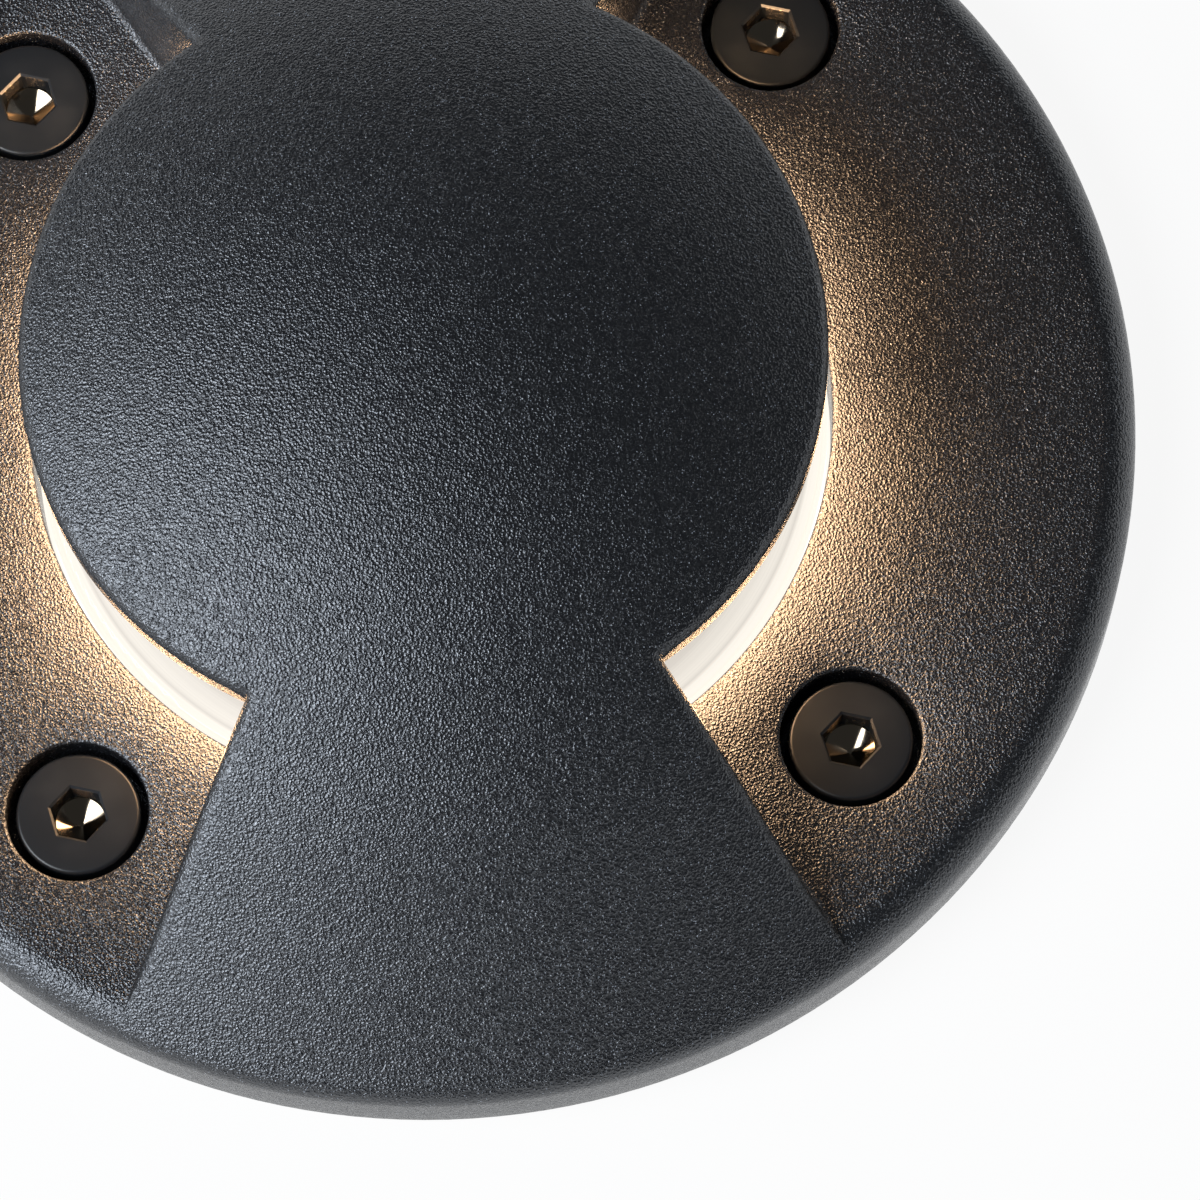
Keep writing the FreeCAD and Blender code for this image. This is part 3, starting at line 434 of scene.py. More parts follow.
    def disc_top(self, columns: list[float], corner: Point) -> list[list[Point]]:
        """Make the dome over the disc, rounded down along its free edge.

        Args:
            columns: The angle of each column of points.
            corner: Where the disc's edge meets the arm's edge.

        Returns:
            Rows of points from the middle out to the disc's radius.
        """
        radii = evenly(self.pole_radius, self.disc_radius - 2 * self.disc_edge_round, self.dome_rings)
        last = self.disc_radius - radii[-1]
        radii += [self.disc_radius - last * math.cos(turn) for turn in quarter(self.dome_edge_rings)[1:]]
        corner_angle = bearing(corner)
        edge = self.edge_radius(0)
        rows = []
        for r in radii:
            row = []
            for angle in columns:
                z = self.sphere(r, self.dome_curve)
                if angle <= corner_angle:
                    z -= self.disc_drop(self.disc_radius - r)
                else:
                    x, y = r * math.cos(angle), r * math.sin(angle)
                    away = math.hypot(x - corner[0], y - corner[1])
                    fan = math.atan2(r * math.sin(angle - corner_angle),
                                     self.disc_radius - r * math.cos(angle - corner_angle))
                    share = min(max(fan / (math.pi / 2), 0.0), 1.0)
                    z -= self.disc_drop(away) * (1 - share) + self.drop(away, edge) * share
                row.append(polar(r, angle, z))
            rows.append(row)
        return rows

    def build(self) -> bpy.types.Object:
        """Make the whole cover.

        Returns:
            The closed mesh's object.
        """
        floor, roof = self.floor_profile(), self.roof_profile()
        side = self.arm_side(floor, roof)
        self.net.strip(side)
        corner = side[0][-1]
        plate_angles = evenly(0.0, bearing(corner), self.plate_columns)
        near_edge = [1 - math.cos(turn) for turn in quarter(self.arc_steps)]
        arm_rows = []
        for k, (r, z) in enumerate(roof):
            edge = self.edge_radius(k)
            offset = self.side_offset(z - edge)
            row = [self.beside(r, offset - edge * share, z - self.drop(edge * share, edge))
                   for share in near_edge]
            across = evenly(bearing(row[-1]), math.pi / 2, self.arm_columns)[1:]
            row += [polar(r, a, z) for a in across]
            arm_rows.append(row)
        self.net.strip(arm_rows)
        arm_angles = [bearing(p) for p in arm_rows[0]][1:]
        dome = self.disc_top(plate_angles + arm_angles, corner)
        dome[-1][self.plate_columns:] = arm_rows[0]
        self.net.strip(dome)
        self.net.strip([[(0.0, 0.0, self.sphere(0.0, self.dome_curve))] * len(dome[0]), dome[0]])
        self.disc_edge(dome[-1][:self.plate_columns + 1], side[0])
        self.plate(floor, side)
        self.rim(floor, side, arm_rows[-1])
        self.under_side()
        self.net.mirrored(0)
        self.net.mirrored(1)
        return self.net.mesh("cast_cover")

    def disc_edge(self, top: list[Point], end: list[Point]) -> None:
        """Make the disc's upright edge, its bevelled lip and the hollow face under the dome.

        Args:
            top: The disc's upper edge.
            end: The line of the arm's side that stands at the disc's edge.
        """
        columns = self.plate_columns
        lip_z = end[-2][2]
        lip_angle = bearing(end[-2])
        lip = [polar(self.disc_radius, a, lip_z) for a in evenly(0.0, lip_angle, columns)]
        self.net.strip([top, lip])
        inner = self.disc_radius - self.lip_bevel
        hollow_edge = self.sphere(inner, self.inner_curve)
        low = [polar(inner, a, hollow_edge) for a in evenly(0.0, lip_angle, columns)]
        self.net.strip([lip, low])
        root = end[-3]
        self.net.strip([[end[-2], end[-2]], [low[-1], root]])
        outer_row = [polar(self.bore_radius, a, self.root_height)
                     for a in evenly(bearing(root), math.pi / 2, self.arm_columns)]
        arm_row = [polar(inner, a, hollow_edge)
                   for a in evenly(lip_angle, math.pi / 2, self.arm_columns)]
        self.net.strip([outer_row, arm_row])
        angles = evenly(0.0, lip_angle, columns)
        angles += evenly(lip_angle, math.pi / 2, self.arm_columns)[1:]
        rows = [[polar(r, a, self.sphere(r, self.inner_curve)) for a in angles]
                for r in evenly(inner, self.pole_radius, self.hollow_rings)]
        self.net.strip(rows)
        self.net.strip([rows[-1], [(0.0, 0.0, self.sphere(0.0, self.inner_curve))] * len(angles)])
        wall = end[self.arc_steps - 1:-2]
        rows = []
        for p in wall:
            across = evenly(bearing(p), math.pi / 2, self.arm_columns)
            rows.append([polar(self.bore_radius, a, p[2]) for a in across])
        self.net.strip(rows)
        foot_row = end[:self.arc_steps] + rows[0][1:]
        self.bore(foot_row)

    def bore(self, arm_top: list[Point]) -> None:
        """Make the opening's wall below the plate's edge and below the arm's inner face.

        Args:
            arm_top: The wall's upper edge below the arm.
        """
        start = arm_top[0]
        across = evenly(0.0, bearing(start), self.plate_columns)
        top = [polar(self.bore_radius, a, start[2]) for a in across]
        top += arm_top[1:]
        levels = []
        for height in (self.bore_band, self.bore_bevel):
            levels.append([(p[0], p[1], self.under + height) for p in top])
        grow = 1 + self.bore_bevel / self.bore_radius
        under = [(p[0] * grow, p[1] * grow, self.under) for p in top]
        self.net.strip([top] + levels + [under])
        self.inner_outline = under

    def plate(self, floor: Profile, side: list[list[Point]]) -> None:
        """Make the recessed plate with its rounded edges and the screw's counterbore.

        Args:
            floor: The plate's profile.
            side: The lines of the arm's side.
        """
        inner = self.arc_steps - 1
        flat_end = inner + self.wide_stations + self.close_stations
        angles = [bearing(line[0]) for line in side]
        rows = [[polar(r, a, z) for a in evenly(0.0, angles[k], self.plate_columns)]
                for k, (r, z) in enumerate(floor)]
        self.net.strip(rows[:inner])
        self.net.strip(rows[flat_end:])
        outline = rows[inner - 1][:]
        outline += [side[k][0] for k in range(inner, flat_end)]
        outline += rows[flat_end][::-1]
        outline += [rows[k][0] for k in range(flat_end - 1, inner - 1, -1)]
        mouth = self.circle(self.counterbore + self.counterbore_bevel, self.plate_top)
        self.net.flat([outline, mouth])
        rings = []
        for turn in quarter(self.small_round_steps):
            rings.append((self.counterbore + self.counterbore_bevel * (1 - math.sin(turn)),
                          self.plate_top - self.counterbore_bevel * (1 - math.cos(turn))))
        floor_z = self.plate_top - self.counterbore_depth
        rings += [(self.counterbore, floor_z), (self.screw_hole, floor_z),
                  (self.screw_hole, self.under + self.screw_hole_bevel),
                  (self.screw_hole + self.screw_hole_bevel, self.under)]
        circles = [self.circle(r, z) for r, z in rings]
        self.net.strip([c + c[:1] for c in circles])

    def circle(self, radius: float, height: float) -> list[Point]:
        """Give a ring of points about the screw's axis.

        Args:
            radius: The ring's radius.
            height: Its height.

        Returns:
            The points, of which none is repeated.
        """
        middle = self.screw_circle * math.cos(math.pi / 4)
        turns = [2 * math.pi * k / self.hole_sides for k in range(self.hole_sides)]
        return [(middle + radius * math.cos(turn), middle + radius * math.sin(turn), height)
                for turn in turns]

    def rim(self, floor: Profile, side: list[list[Point]], arm_end: list[Point]) -> None:
        """Make the rim's upright wall under the plate's and the arm's outer ends.

        Args:
            floor: The plate's profile.
            side: The lines of the arm's side.
            arm_end: The arm's outermost row.
        """
        across = evenly(0.0, bearing(side[-1][0]), self.plate_columns)
        top = [polar(self.rim_radius, a, floor[-1][1]) for a in across]
        top += side[-1][1:] + arm_end[1:]
        rows = [top]
        rows.append([(p[0], p[1], self.base + self.rim_band) for p in top])
        for turn in quarter(self.small_round_steps):
            grow = 1 - self.rim_lower_round * (1 - math.cos(turn)) / self.rim_radius
            z = self.base + self.rim_lower_round * (1 - math.sin(turn))
            rows.append([(p[0] * grow, p[1] * grow, z) for p in top])
        for z in (self.base, self.under):
            rows.append([polar(self.seat_radius, bearing(p), z) for p in top])
        self.net.strip(rows)
        self.outer_outline = rows[-1]

    def under_side(self) -> None:
        """Make the cover's underside with its pockets."""
        plate_angles = evenly(0.0, self.plate_pocket_half_angle, self.plate_pocket_columns)
        arm_angles = evenly(math.pi / 2 - self.arm_pocket_half_angle, math.pi / 2,
                            self.arm_pocket_columns)
        plate_inner = [polar(self.pocket_inner, a, self.under) for a in plate_angles]
        plate_outer = [polar(self.pocket_outer, a, self.under) for a in plate_angles]
        arm_inner = [polar(self.pocket_inner, a, self.under) for a in arm_angles]
        arm_outer = [polar(self.pocket_outer, a, self.under) for a in arm_angles]
        outline = self.outer_outline[:] + arm_outer[::-1] + arm_inner + self.inner_outline[::-1]
        outline += plate_inner + plate_outer[::-1]
        self.net.flat([outline, self.circle(self.screw_hole + self.screw_hole_bevel, self.under)])
        roof_z = self.plate_top - self.plate_skin
        plate_roof = [(self.pocket_inner, roof_z), (self.pocket_outer, roof_z)]
        self.pocket(plate_angles, plate_roof, plate_angles[-1])
        curve = self.dome_curve - self.arm_skin
        radii = evenly(self.pocket_inner, self.pocket_outer, self.arm_pocket_rings)
        self.pocket(arm_angles, [(r, self.sphere(r, curve)) for r in radii], arm_angles[0])

    def pocket(self, angles: list[float], roof: Profile, wall: float) -> None:
        """Make a pocket's roof, its two curved walls and its one end wall in the quarter.

        Args:
            angles: The angle of each column of points.
            roof: The roof's profile, from its inner to its outer edge.
            wall: The angle of the end wall.
        """
        feet = [(roof[0][0], self.under), (roof[-1][0], self.under)]
        profile = feet[:1] + roof + feet[1:]
        self.net.strip([[polar(r, a, z) for a in angles] for r, z in profile])
        outline = roof + feet[::-1]
        self.net.flat([[polar(r, wall, z) for r, z in outline]])


@dataclass
class SocketScrew:
    """A low-head socket screw with a rounded rim, a bevelled hexagon socket and a drilled cone."""

    head_top: float = 138.5 * MM
    head_bottom: float = 134.5 * MM
    head_radius: float = 5.0 * MM
    head_round: float = 0.35 * MM
    head_lower_bevel: float = 0.2 * MM
    face_radius: float = 3.6 * MM
    shank_radius: float = 2.95 * MM
    shank_end: float = 118.5 * MM
    end_bevel: float = 0.6 * MM
    flats: float = 4.0 * MM
    socket_bevel: float = 0.18 * MM
    socket_depth: float = 2.3 * MM
    cone_radius: float = 1.98 * MM
    cone_depth: float = 1.058 * MM
    tip_radius: float = 0.25 * MM
    tip_depth: float = 1.035 * MM
    circle: float = 43.85 * MM
    socket_turn: float = math.radians(12.0)
    sides: int = 96
    round_steps: int = 6

    def ring(self, radius: float, height: float) -> list[Point]:
        """Give a closed ring of points on the screw's own axis."""
        return [polar(radius, 2 * math.pi * (k % self.sides) / self.sides, height)
                for k in range(self.sides + 1)]

    def hexagon(self, flats: float, height: float) -> list[Point]:
        """Give a closed ring of points along a hexagon, in step with the round rings.

        Args:
            flats: The hexagon's size across flats.
            height: Its height.

        Returns:
            The points, of which the first is repeated at the end.
        """
        points = []
        for k in range(self.sides + 1):
            angle = 2 * math.pi * (k % self.sides) / self.sides
            within = (angle + math.pi / 6) % (math.pi / 3) - math.pi / 6
            points.append(polar(flats / 2 / math.cos(within), angle, height))
        return points

    def source(self) -> bpy.types.Object:
        """Make the screw on the Z axis.

        Returns:
            The closed pattern that the four screws are copied from.
        """
        net = SurfaceNet()
        rows = [[(0.0, 0.0, self.shank_end)] * (self.sides + 1),
                self.ring(self.shank_radius - self.end_bevel, self.shank_end),
                self.ring(self.shank_radius, self.shank_end + self.end_bevel),
                self.ring(self.shank_radius, self.head_bottom),
                self.ring(self.head_radius - self.head_lower_bevel, self.head_bottom),
                self.ring(self.head_radius, self.head_bottom + self.head_lower_bevel)]
        for turn in quarter(self.round_steps):
            rows.append(self.ring(self.head_radius - self.head_round * (1 - math.cos(turn)),
                                  self.head_top - self.head_round * (1 - math.sin(turn))))
        floor = self.head_top - self.socket_depth
        rows += [self.ring(self.face_radius, self.head_top),
                 self.hexagon(self.flats + 2 * self.socket_bevel, self.head_top),
                 self.hexagon(self.flats, self.head_top - self.socket_bevel),
                 self.hexagon(self.flats, floor),
                 self.ring(self.cone_radius, floor),
                 self.ring(self.tip_radius, floor - self.tip_depth),
                 [(0.0, 0.0, floor - self.cone_depth)] * (self.sides + 1)]
        net.strip(rows)
        return net.mesh("socket_screw_pattern", SCREW_CREASE)

    def placing_tree(self, material: bpy.types.Material) -> bpy.types.NodeTree:
        """Make the node tree that sets one copy of the screw in its place.

        Args:
            material: The finish that the tree puts on the copy.

        Returns:
            A geometry node tree with the inputs Place and Turn.
        """
        tree = bpy.data.node_groups.new("screw_placing", "GeometryNodeTree")
        tree.interface.new_socket("Geometry", in_out="INPUT", socket_type="NodeSocketGeometry")
        tree.interface.new_socket("Place", in_out="INPUT", socket_type="NodeSocketVector")
        tree.interface.new_socket("Turn", in_out="INPUT", socket_type="NodeSocketFloat")
        tree.interface.new_socket("Geometry", in_out="OUTPUT", socket_type="NodeSocketGeometry")
        graph = Graph(tree)
        given = graph.add("NodeGroupInput")
        spot = graph.add("GeometryNodePoints")
        graph.link(given.outputs["Place"], spot.inputs["Position"])
        spin = graph.add("ShaderNodeCombineXYZ")
        graph.link(given.outputs["Turn"], spin.inputs["Z"])
        copies = graph.add("GeometryNodeInstanceOnPoints")
        graph.link(spot.outputs[0], copies.inputs["Points"])
        graph.link(given.outputs["Geometry"], copies.inputs["Instance"])
        graph.link(spin.outputs[0], copies.inputs["Rotation"])
        solid = graph.add("GeometryNodeRealizeInstances")
        graph.link(copies.outputs[0], solid.inputs[0])
        coat = graph.add("GeometryNodeSetMaterial")
        coat.inputs["Material"].default_value = material
        graph.link(solid.outputs[0], coat.inputs["Geometry"])
        result = graph.add("NodeGroupOutput")
        graph.link(coat.outputs[0], result.inputs[0])
        return tree

    def place(self, material: bpy.types.Material) -> None:
        """Set the four screws in the cover, one plain mesh for each body.

        Args:
            material: The screws' finish.
        """
        pattern = self.source()
        tree = self.placing_tree(material)
        reach = self.circle * math.cos(math.pi / 4)
        for carrier, (right, back) in SCREW_QUARTERS.items():
            body = carrier.value
            made = applied(pattern, tree, f"cap_{body}",
                           {"Place": (right * reach, back * reach, 0.0), "Turn": self.socket_turn})
            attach(made, body)
            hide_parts(f"cover_{body}")
            log.info("made %s", made.name)
        bpy.data.objects.remove(pattern)


def applied(source: bpy.types.Object, tree: bpy.types.NodeTree, name: str,
            values: dict[str, float | tuple[float, float, float]]) -> bpy.types.Object:
    """Run a geometry node tree on an object and keep the outcome as a plain mesh.

    Args:
        source: The object whose mesh goes in.
        tree: The node tree.
        name: The new object's name.
        values: The tree's named inputs.

    Returns:
        A new object that holds the finished mesh and no modifier.
    """
    scene = bpy.context.scene
    worker = bpy.data.objects.new(f"{name}_maker", source.data.copy())
    scene.collection.objects.link(worker)
    step = worker.modifiers.new("placing", "NODES")
    step.node_group = tree
    for item in tree.interface.items_tree:
        if item.in_out == "INPUT" and item.name in values:
            step[item.identifier] = values[item.name]
    bpy.context.view_layer.update()
    evaluated = worker.evaluated_get(bpy.context.evaluated_depsgraph_get())
    data = bpy.data.meshes.new_from_object(evaluated)
    data.name = name
    bpy.data.objects.remove(worker)
    made = bpy.data.objects.new(name, data)
    scene.collection.objects.link(made)
    return made


class Graph:
    """A node tree that is filled in step by step."""

    def __init__(self, tree: bpy.types.NodeTree) -> None:
        """Work on a tree."""
        self.tree = tree

    def add(self, kind: str, **settings: object) -> Node:
        """Add a node and set its own options and the plain values of its sockets.

        Args:
            kind: The node's type.
            settings: Options by name, or socket values under the socket's name.

        Returns:
            The new node.
        """
        node = self.tree.nodes.new(kind)
        for name, value in settings.items():
            if hasattr(node, name):
                setattr(node, name, value)
            else:
                node.inputs[name.replace("_", " ")].default_value = value
        return node

    def link(self, source: Socket, target: Socket) -> None:
        """Join an output to an input."""
        self.tree.links.new(source, target)

    def feed(self, target: Socket, value: object) -> None:
        """Let an input follow an output, or set its plain value.

        Args:
            target: The input.
            value: An output or a plain value.
        """
        if isinstance(value, bpy.types.NodeSocket):
            self.link(value, target)
        else:
            target.default_value = value

    def sum(self, operation: str, first: object, second: object = 0.0) -> Socket:
        """Add a maths node.

        Args:
            operation: What the node does.
            first: The first input, an output or a number.
            second: The second input, an output or a number.

        Returns:
            The node's output.
        """
        node = self.add("ShaderNodeMath", operation=operation)
        self.feed(node.inputs[0], first)
        self.feed(node.inputs[1], second)
        return node.outputs[0]

    def vector(self, operation: str, *values: object) -> Socket:
        """Add a vector maths node.

        Args:
            operation: What the node does.
            values: Its inputs in order, each an output or three numbers.

        Returns:
            The node's output.
        """
        node = self.add("ShaderNodeVectorMath", operation=operation)
        for socket, value in zip(node.inputs, values):
            self.feed(socket, value)
        return node.outputs[0]

    def texture(self, kind: str, place: Socket, scale: object, **settings: object) -> Node:
        """Add a texture.

        Args:
            kind: Noise or Voronoi.
            place: The coordinates that it reads.
            scale: Its scale, as an output or a number.
            settings: Its other options and values.

        Returns:
            The texture's node.
        """
        node = self.add(f"ShaderNodeTex{kind}", **settings)
        self.link(place, node.inputs["Vector"])
        self.feed(node.inputs["Scale"], scale)
        return node

    def span(self, value: Socket, given: Span, wanted: Span = (0.0, 1.0)) -> Socket:
        """Spread a value over another span.

        Args:
            value: The value.
            given: Where the value starts and ends.
            wanted: What it becomes at those two ends.

        Returns:
            The spread value.
        """
        node = self.add("ShaderNodeMapRange")
        self.link(value, node.inputs["Value"])
        for name, number in zip(("From Min", "From Max", "To Min", "To Max"), (*given, *wanted)):
            node.inputs[name].default_value = number
        return node.outputs["Result"]

    def blend(self, share: Socket, first: object, second: object) -> Socket:
        """Blend two colours.

        Args:
            share: 0 for the first colour and 1 for the second.
            first: An output or a colour.
            second: An output or a colour.

        Returns:
            The blended colour.
        """
        node = self.add("ShaderNodeMix", data_type="RGBA")
        self.link(share, node.inputs[0])
        for socket, colour in zip(node.inputs[6:8], (first, second)):
            self.feed(socket, (*colour, 1.0) if isinstance(colour, tuple) else colour)
        return node.outputs[2]

    def parts(self, value: Socket) -> list[Socket]:
        """Take a vector apart.

        Args:
            value: The vector.

        Returns:
            Its X, Y and Z.
        """
        node = self.add("ShaderNodeSeparateXYZ")
        self.link(value, node.inputs[0])
        return list(node.outputs)

    def radius(self, place: list[Socket]) -> Socket:
        """Give how far a place, as its parts, lies from the Z axis."""
        squares = [self.sum("MULTIPLY", part, part) for part in place[:2]]
        return self.sum("SQRT", self.sum("ADD", *squares))


def effect(name: str, outputs: tuple[str, ...]) -> tuple[Graph, Socket, Socket, Node]:
    """Start a shader node group that takes a place and a scale and gives plain values.

    Args:
        name: The group's name.
        outputs: The names of the values that it gives.

    Returns:
        The graph, the place, the scale and the group's output node.
    """
    tree = bpy.data.node_groups.new(name, "ShaderNodeTree")
    tree.interface.new_socket("Place", in_out="INPUT", socket_type="NodeSocketVector")
    tree.interface.new_socket("Scale", in_out="INPUT", socket_type="NodeSocketFloat")
    for label in outputs:
        tree.interface.new_socket(label, in_out="OUTPUT", socket_type="NodeSocketFloat")
    graph = Graph(tree)
    given = graph.add("NodeGroupInput")
    return graph, given.outputs["Place"], given.outputs["Scale"], graph.add("NodeGroupOutput")


@dataclass
class Effects:
    """The shared surface effects, each a node group that is made once.

    The scales of wrinkles, fine grain, grit and painted glint specks are shares of the finish's own
    grain scale. The other scales are fixed, in waves a metre.
    """

    warp_scale: float = 0.8
    warp_reach: float = 0.22 * MM
    wrinkle_softness: float = 0.22
    wrinkle_span: Span = (0.0, 0.8)
    wrinkle_height: float = 0.65
    fine_scale: float = 0.9
    fine_height: float = 0.55
    fleck_span: Span = (0.56, 0.68)
    grit_scale: float = 2.3
    grit_span: Span = (0.58, 0.80)
    grit_height: float = 0.16
    # Rare specks of painted glint: bluish-white dots that stand in for sparkles of the key light.
    glint_speck_scale: float = 1.45
    glint_speck_rarity: float = 0.91
    glint_speck_span: Span = (0.20, 0.36)
    tone_span: Span = (0.3, 0.7)
    coat_tone_scale: float = 42.0
    mould_tone_scale: float = 55.0
    scuff_scale: float = 420.0
    scuff_stretch: Point = (1.0, 1.0, 0.12)
    scuff_span: Span = (0.58, 0.70)
    streak_span: Span = (0.35, 0.65)
    spot_scale: float = 260.0
    spot_span: Span = (0.52, 0.68)
    dust_facing: Span = (0.5, 1.0)
    dust_span: Span = (0.5, 0.72)

    def __post_init__(self) -> None:
        """Make the groups."""
        self.leather = self.leather_grain()
        self.mould = self.mould_grain()
        self.turned = self.turned_rings()
        self.dust = self.settled_dust()

    def leather_grain(self) -> bpy.types.NodeTree:
        """Make the wrinkled sand grain of a thick powder coat.

        Returns:
            The group, with the coat's height, raised flecks, cloudy tone and rare specks of painted
            glint.
        """
        graph, place, scale, result = effect("leather_grain", ("Height", "Fleck", "Tone", "GlintSpeck"))
        warp = graph.texture("Noise", place, graph.sum("MULTIPLY", scale, self.warp_scale), Detail=2.0)
        warped = graph.vector("MULTIPLY_ADD", warp.outputs["Color"], (self.warp_reach,) * 3, place)
        cells = graph.texture("Voronoi", warped, scale, feature="SMOOTH_F1",
                              Smoothness=self.wrinkle_softness)
        fine = graph.texture("Noise", place, graph.sum("MULTIPLY", scale, self.fine_scale),
                             Detail=2.5, Roughness=0.5)
        grit = graph.texture("Noise", place, graph.sum("MULTIPLY", scale, self.grit_scale), Detail=0.0)
        mound = graph.span(cells.outputs["Distance"], self.wrinkle_span, (1.0, 0.0))
        height = graph.sum("ADD", graph.sum("MULTIPLY", mound, self.wrinkle_height),
                           graph.sum("MULTIPLY", fine.outputs[0], self.fine_height))
        grains = graph.span(grit.outputs[0], self.grit_span, (0.0, self.grit_height))
        graph.link(graph.sum("ADD", height, grains), result.inputs["Height"])
        graph.link(graph.span(fine.outputs[0], self.fleck_span), result.inputs["Fleck"])
        cloud = graph.texture("Noise", place, self.coat_tone_scale, Detail=3.0)
        graph.link(graph.span(cloud.outputs[0], self.tone_span), result.inputs["Tone"])
        # Painted glints: rare dots that the coat's colour later turns bluish-white.
        motes = graph.texture("Voronoi", place, graph.sum("MULTIPLY", scale, self.glint_speck_scale),
                              feature="F1")
        chance = graph.add("ShaderNodeSeparateColor")
        graph.link(motes.outputs["Color"], chance.inputs[0])
        rare_glint = graph.sum("GREATER_THAN", chance.outputs[0], self.glint_speck_rarity)
        glint_dot = graph.span(motes.outputs["Distance"], self.glint_speck_span, (1.0, 0.0))
        graph.link(graph.sum("MULTIPLY", rare_glint, glint_dot), result.inputs["GlintSpeck"])
        return graph.tree

    def mould_grain(self) -> bpy.types.NodeTree:
        """Make the fine grain, flow marks and scuffs of a moulded or cast skin.

        Returns:
            The group, with the skin's height, scuffs and cloudy tone.
        """
        graph, place, scale, result = effect("mould_grain", ("Height", "Scuff", "Tone"))
        grain = graph.texture("Noise", place, scale, Detail=5.0, Roughness=0.6)
        graph.link(grain.outputs[0], result.inputs["Height"])
        flow = graph.texture("Noise", place, self.mould_tone_scale, Detail=3.0, Distortion=1.2)
        graph.link(graph.span(flow.outputs[0], self.tone_span), result.inputs["Tone"])
        stretched = graph.vector("MULTIPLY", place, self.scuff_stretch)
        marks = graph.texture("Noise", stretched, self.scuff_scale, Detail=6.0, Roughness=0.7)
        graph.link(graph.span(marks.outputs[0], self.scuff_span), result.inputs["Scuff"])
        return graph.tree

    def turned_rings(self) -> bpy.types.NodeTree:
        """Make the fine rings that a tool leaves round the Z axis, with a few tarnished spots.

        Returns:
            The group, with the rings' height, their streaks and the spots.
        """
        graph, place, scale, result = effect("turned_rings", ("Height", "Streak", "Spot"))
        parts = graph.parts(place)
        line = graph.add("ShaderNodeCombineXYZ")
        graph.link(graph.radius(parts), line.inputs[0])
        graph.link(parts[2], line.inputs[1])
        rings = graph.texture("Noise", line.outputs[0], scale, Detail=3.0, Roughness=0.7)
        graph.link(rings.outputs[0], result.inputs["Height"])
        graph.link(graph.span(rings.outputs[0], self.streak_span), result.inputs["Streak"])
        spots = graph.texture("Noise", place, self.spot_scale, Detail=4.0)
        graph.link(graph.span(spots.outputs[0], self.spot_span), result.inputs["Spot"])
        return graph.tree

    def settled_dust(self) -> bpy.types.NodeTree:
        """Make the thin dust that settles on faces turned upwards.

        Returns:
            The group, with the dust's share of the surface.
        """
        graph, place, scale, result = effect("settled_dust", ("Dust",))
        facing = graph.parts(graph.add("ShaderNodeTexCoord").outputs["Normal"])
        motes = graph.texture("Noise", place, scale, Detail=6.0, Roughness=0.7)
        up = graph.span(facing[2], self.dust_facing)
        settled = graph.span(motes.outputs[0], self.dust_span)
        graph.link(graph.sum("MULTIPLY", up, settled), result.inputs["Dust"])
        return graph.tree


@dataclass(frozen=True)
class Finish:
    """A surface finish; each kind fills in its own nodes."""

    name: str
    colour: Colour
    roughness: float = 0.5
    metallic: float = 0.0
    specular: float = 0.5
    grain_scale: float = 2600.0
    grain_depth: float = 0.02 * MM
    sheen_tint: Colour = (1.0, 1.0, 1.0)
    tone_range: Span = (0.78, 1.16)
    tone_lift: float = 0.004
    scuff_dulling: float = 0.14
    grain_strength: float = 1.0

    def material(self, effects: Effects) -> bpy.types.Material:
        """Make the material.

        Args:
            effects: The shared effect groups.

        Returns:
            A material whose principled shader has every constant set on its own socket.
        """
        made = bpy.data.materials.new(self.name)
        made.use_nodes = True
        made.node_tree.nodes.clear()
        graph = Graph(made.node_tree)
        shader = graph.add("ShaderNodeBsdfPrincipled", Roughness=self.roughness, Metallic=self.metallic,
                           Specular_IOR_Level=self.specular, Specular_Tint=(*self.sheen_tint, 1.0))
        output = graph.add("ShaderNodeOutputMaterial")
        graph.link(shader.outputs[0], output.inputs["Surface"])
        place = graph.add("ShaderNodeTexCoord").outputs["Object"]
        self.fill(graph, shader, place, effects)
        made.diffuse_color = (*self.colour, 1.0)
        return made

    def use(self, graph: Graph, tree: bpy.types.NodeTree, place: Socket, scale: float) -> Node:
        """Put a shared effect into the graph.

        Args:
            graph: The material's nodes.
            tree: The effect's group.
            place: The coordinates that it reads.
            scale: Its scale.

        Returns:
            The effect's node.
        """
        node = graph.add("ShaderNodeGroup", node_tree=tree)
        node.inputs["Scale"].default_value = scale
        graph.link(place, node.inputs["Place"])
        return node

    def raise_surface(self, graph: Graph, shader: Node, height: Socket) -> None:
        """Let a height shape the surface's normal.

        Args:
            graph: The material's nodes.
            shader: The principled shader.
            height: The height, between 0 and about 1.
        """
        bump = graph.add("ShaderNodeBump", Distance=self.grain_depth, Strength=self.grain_strength)
        graph.link(height, bump.inputs["Height"])
        graph.link(bump.outputs[0], shader.inputs["Normal"])

    def mould_skin(self, graph: Graph, shader: Node, place: Socket, effects: Effects) -> Node:
        """Add the moulded grain with its scuffs.

        Args:
            graph: The material's nodes.
            shader: The principled shader.
            place: The piece's own coordinates.
            effects: The shared effect groups.

        Returns:
            The node of the moulded grain.
        """
        grain = self.use(graph, effects.mould, place, self.grain_scale)
        dulled = (self.roughness, self.roughness + self.scuff_dulling)
        graph.link(graph.span(grain.outputs["Scuff"], (0.0, 1.0), dulled), shader.inputs["Roughness"])
        self.raise_surface(graph, shader, grain.outputs["Height"])
        return grain

    def fill(self, graph: Graph, shader: Node, place: Socket, effects: Effects) -> None:
        """Add the nodes of this finish.

        Args:
            graph: The material's nodes.
            shader: The principled shader.
            place: The piece's own coordinates.
            effects: The shared effect groups.
        """
        grain = self.mould_skin(graph, shader, place, effects)
        darker = tuple(self.tone_range[0] * c for c in self.colour)
        lighter = tuple(min(1.0, self.tone_range[1] * c + self.tone_lift) for c in self.colour)
        graph.link(graph.blend(grain.outputs["Tone"], darker, lighter), shader.inputs["Base Color"])


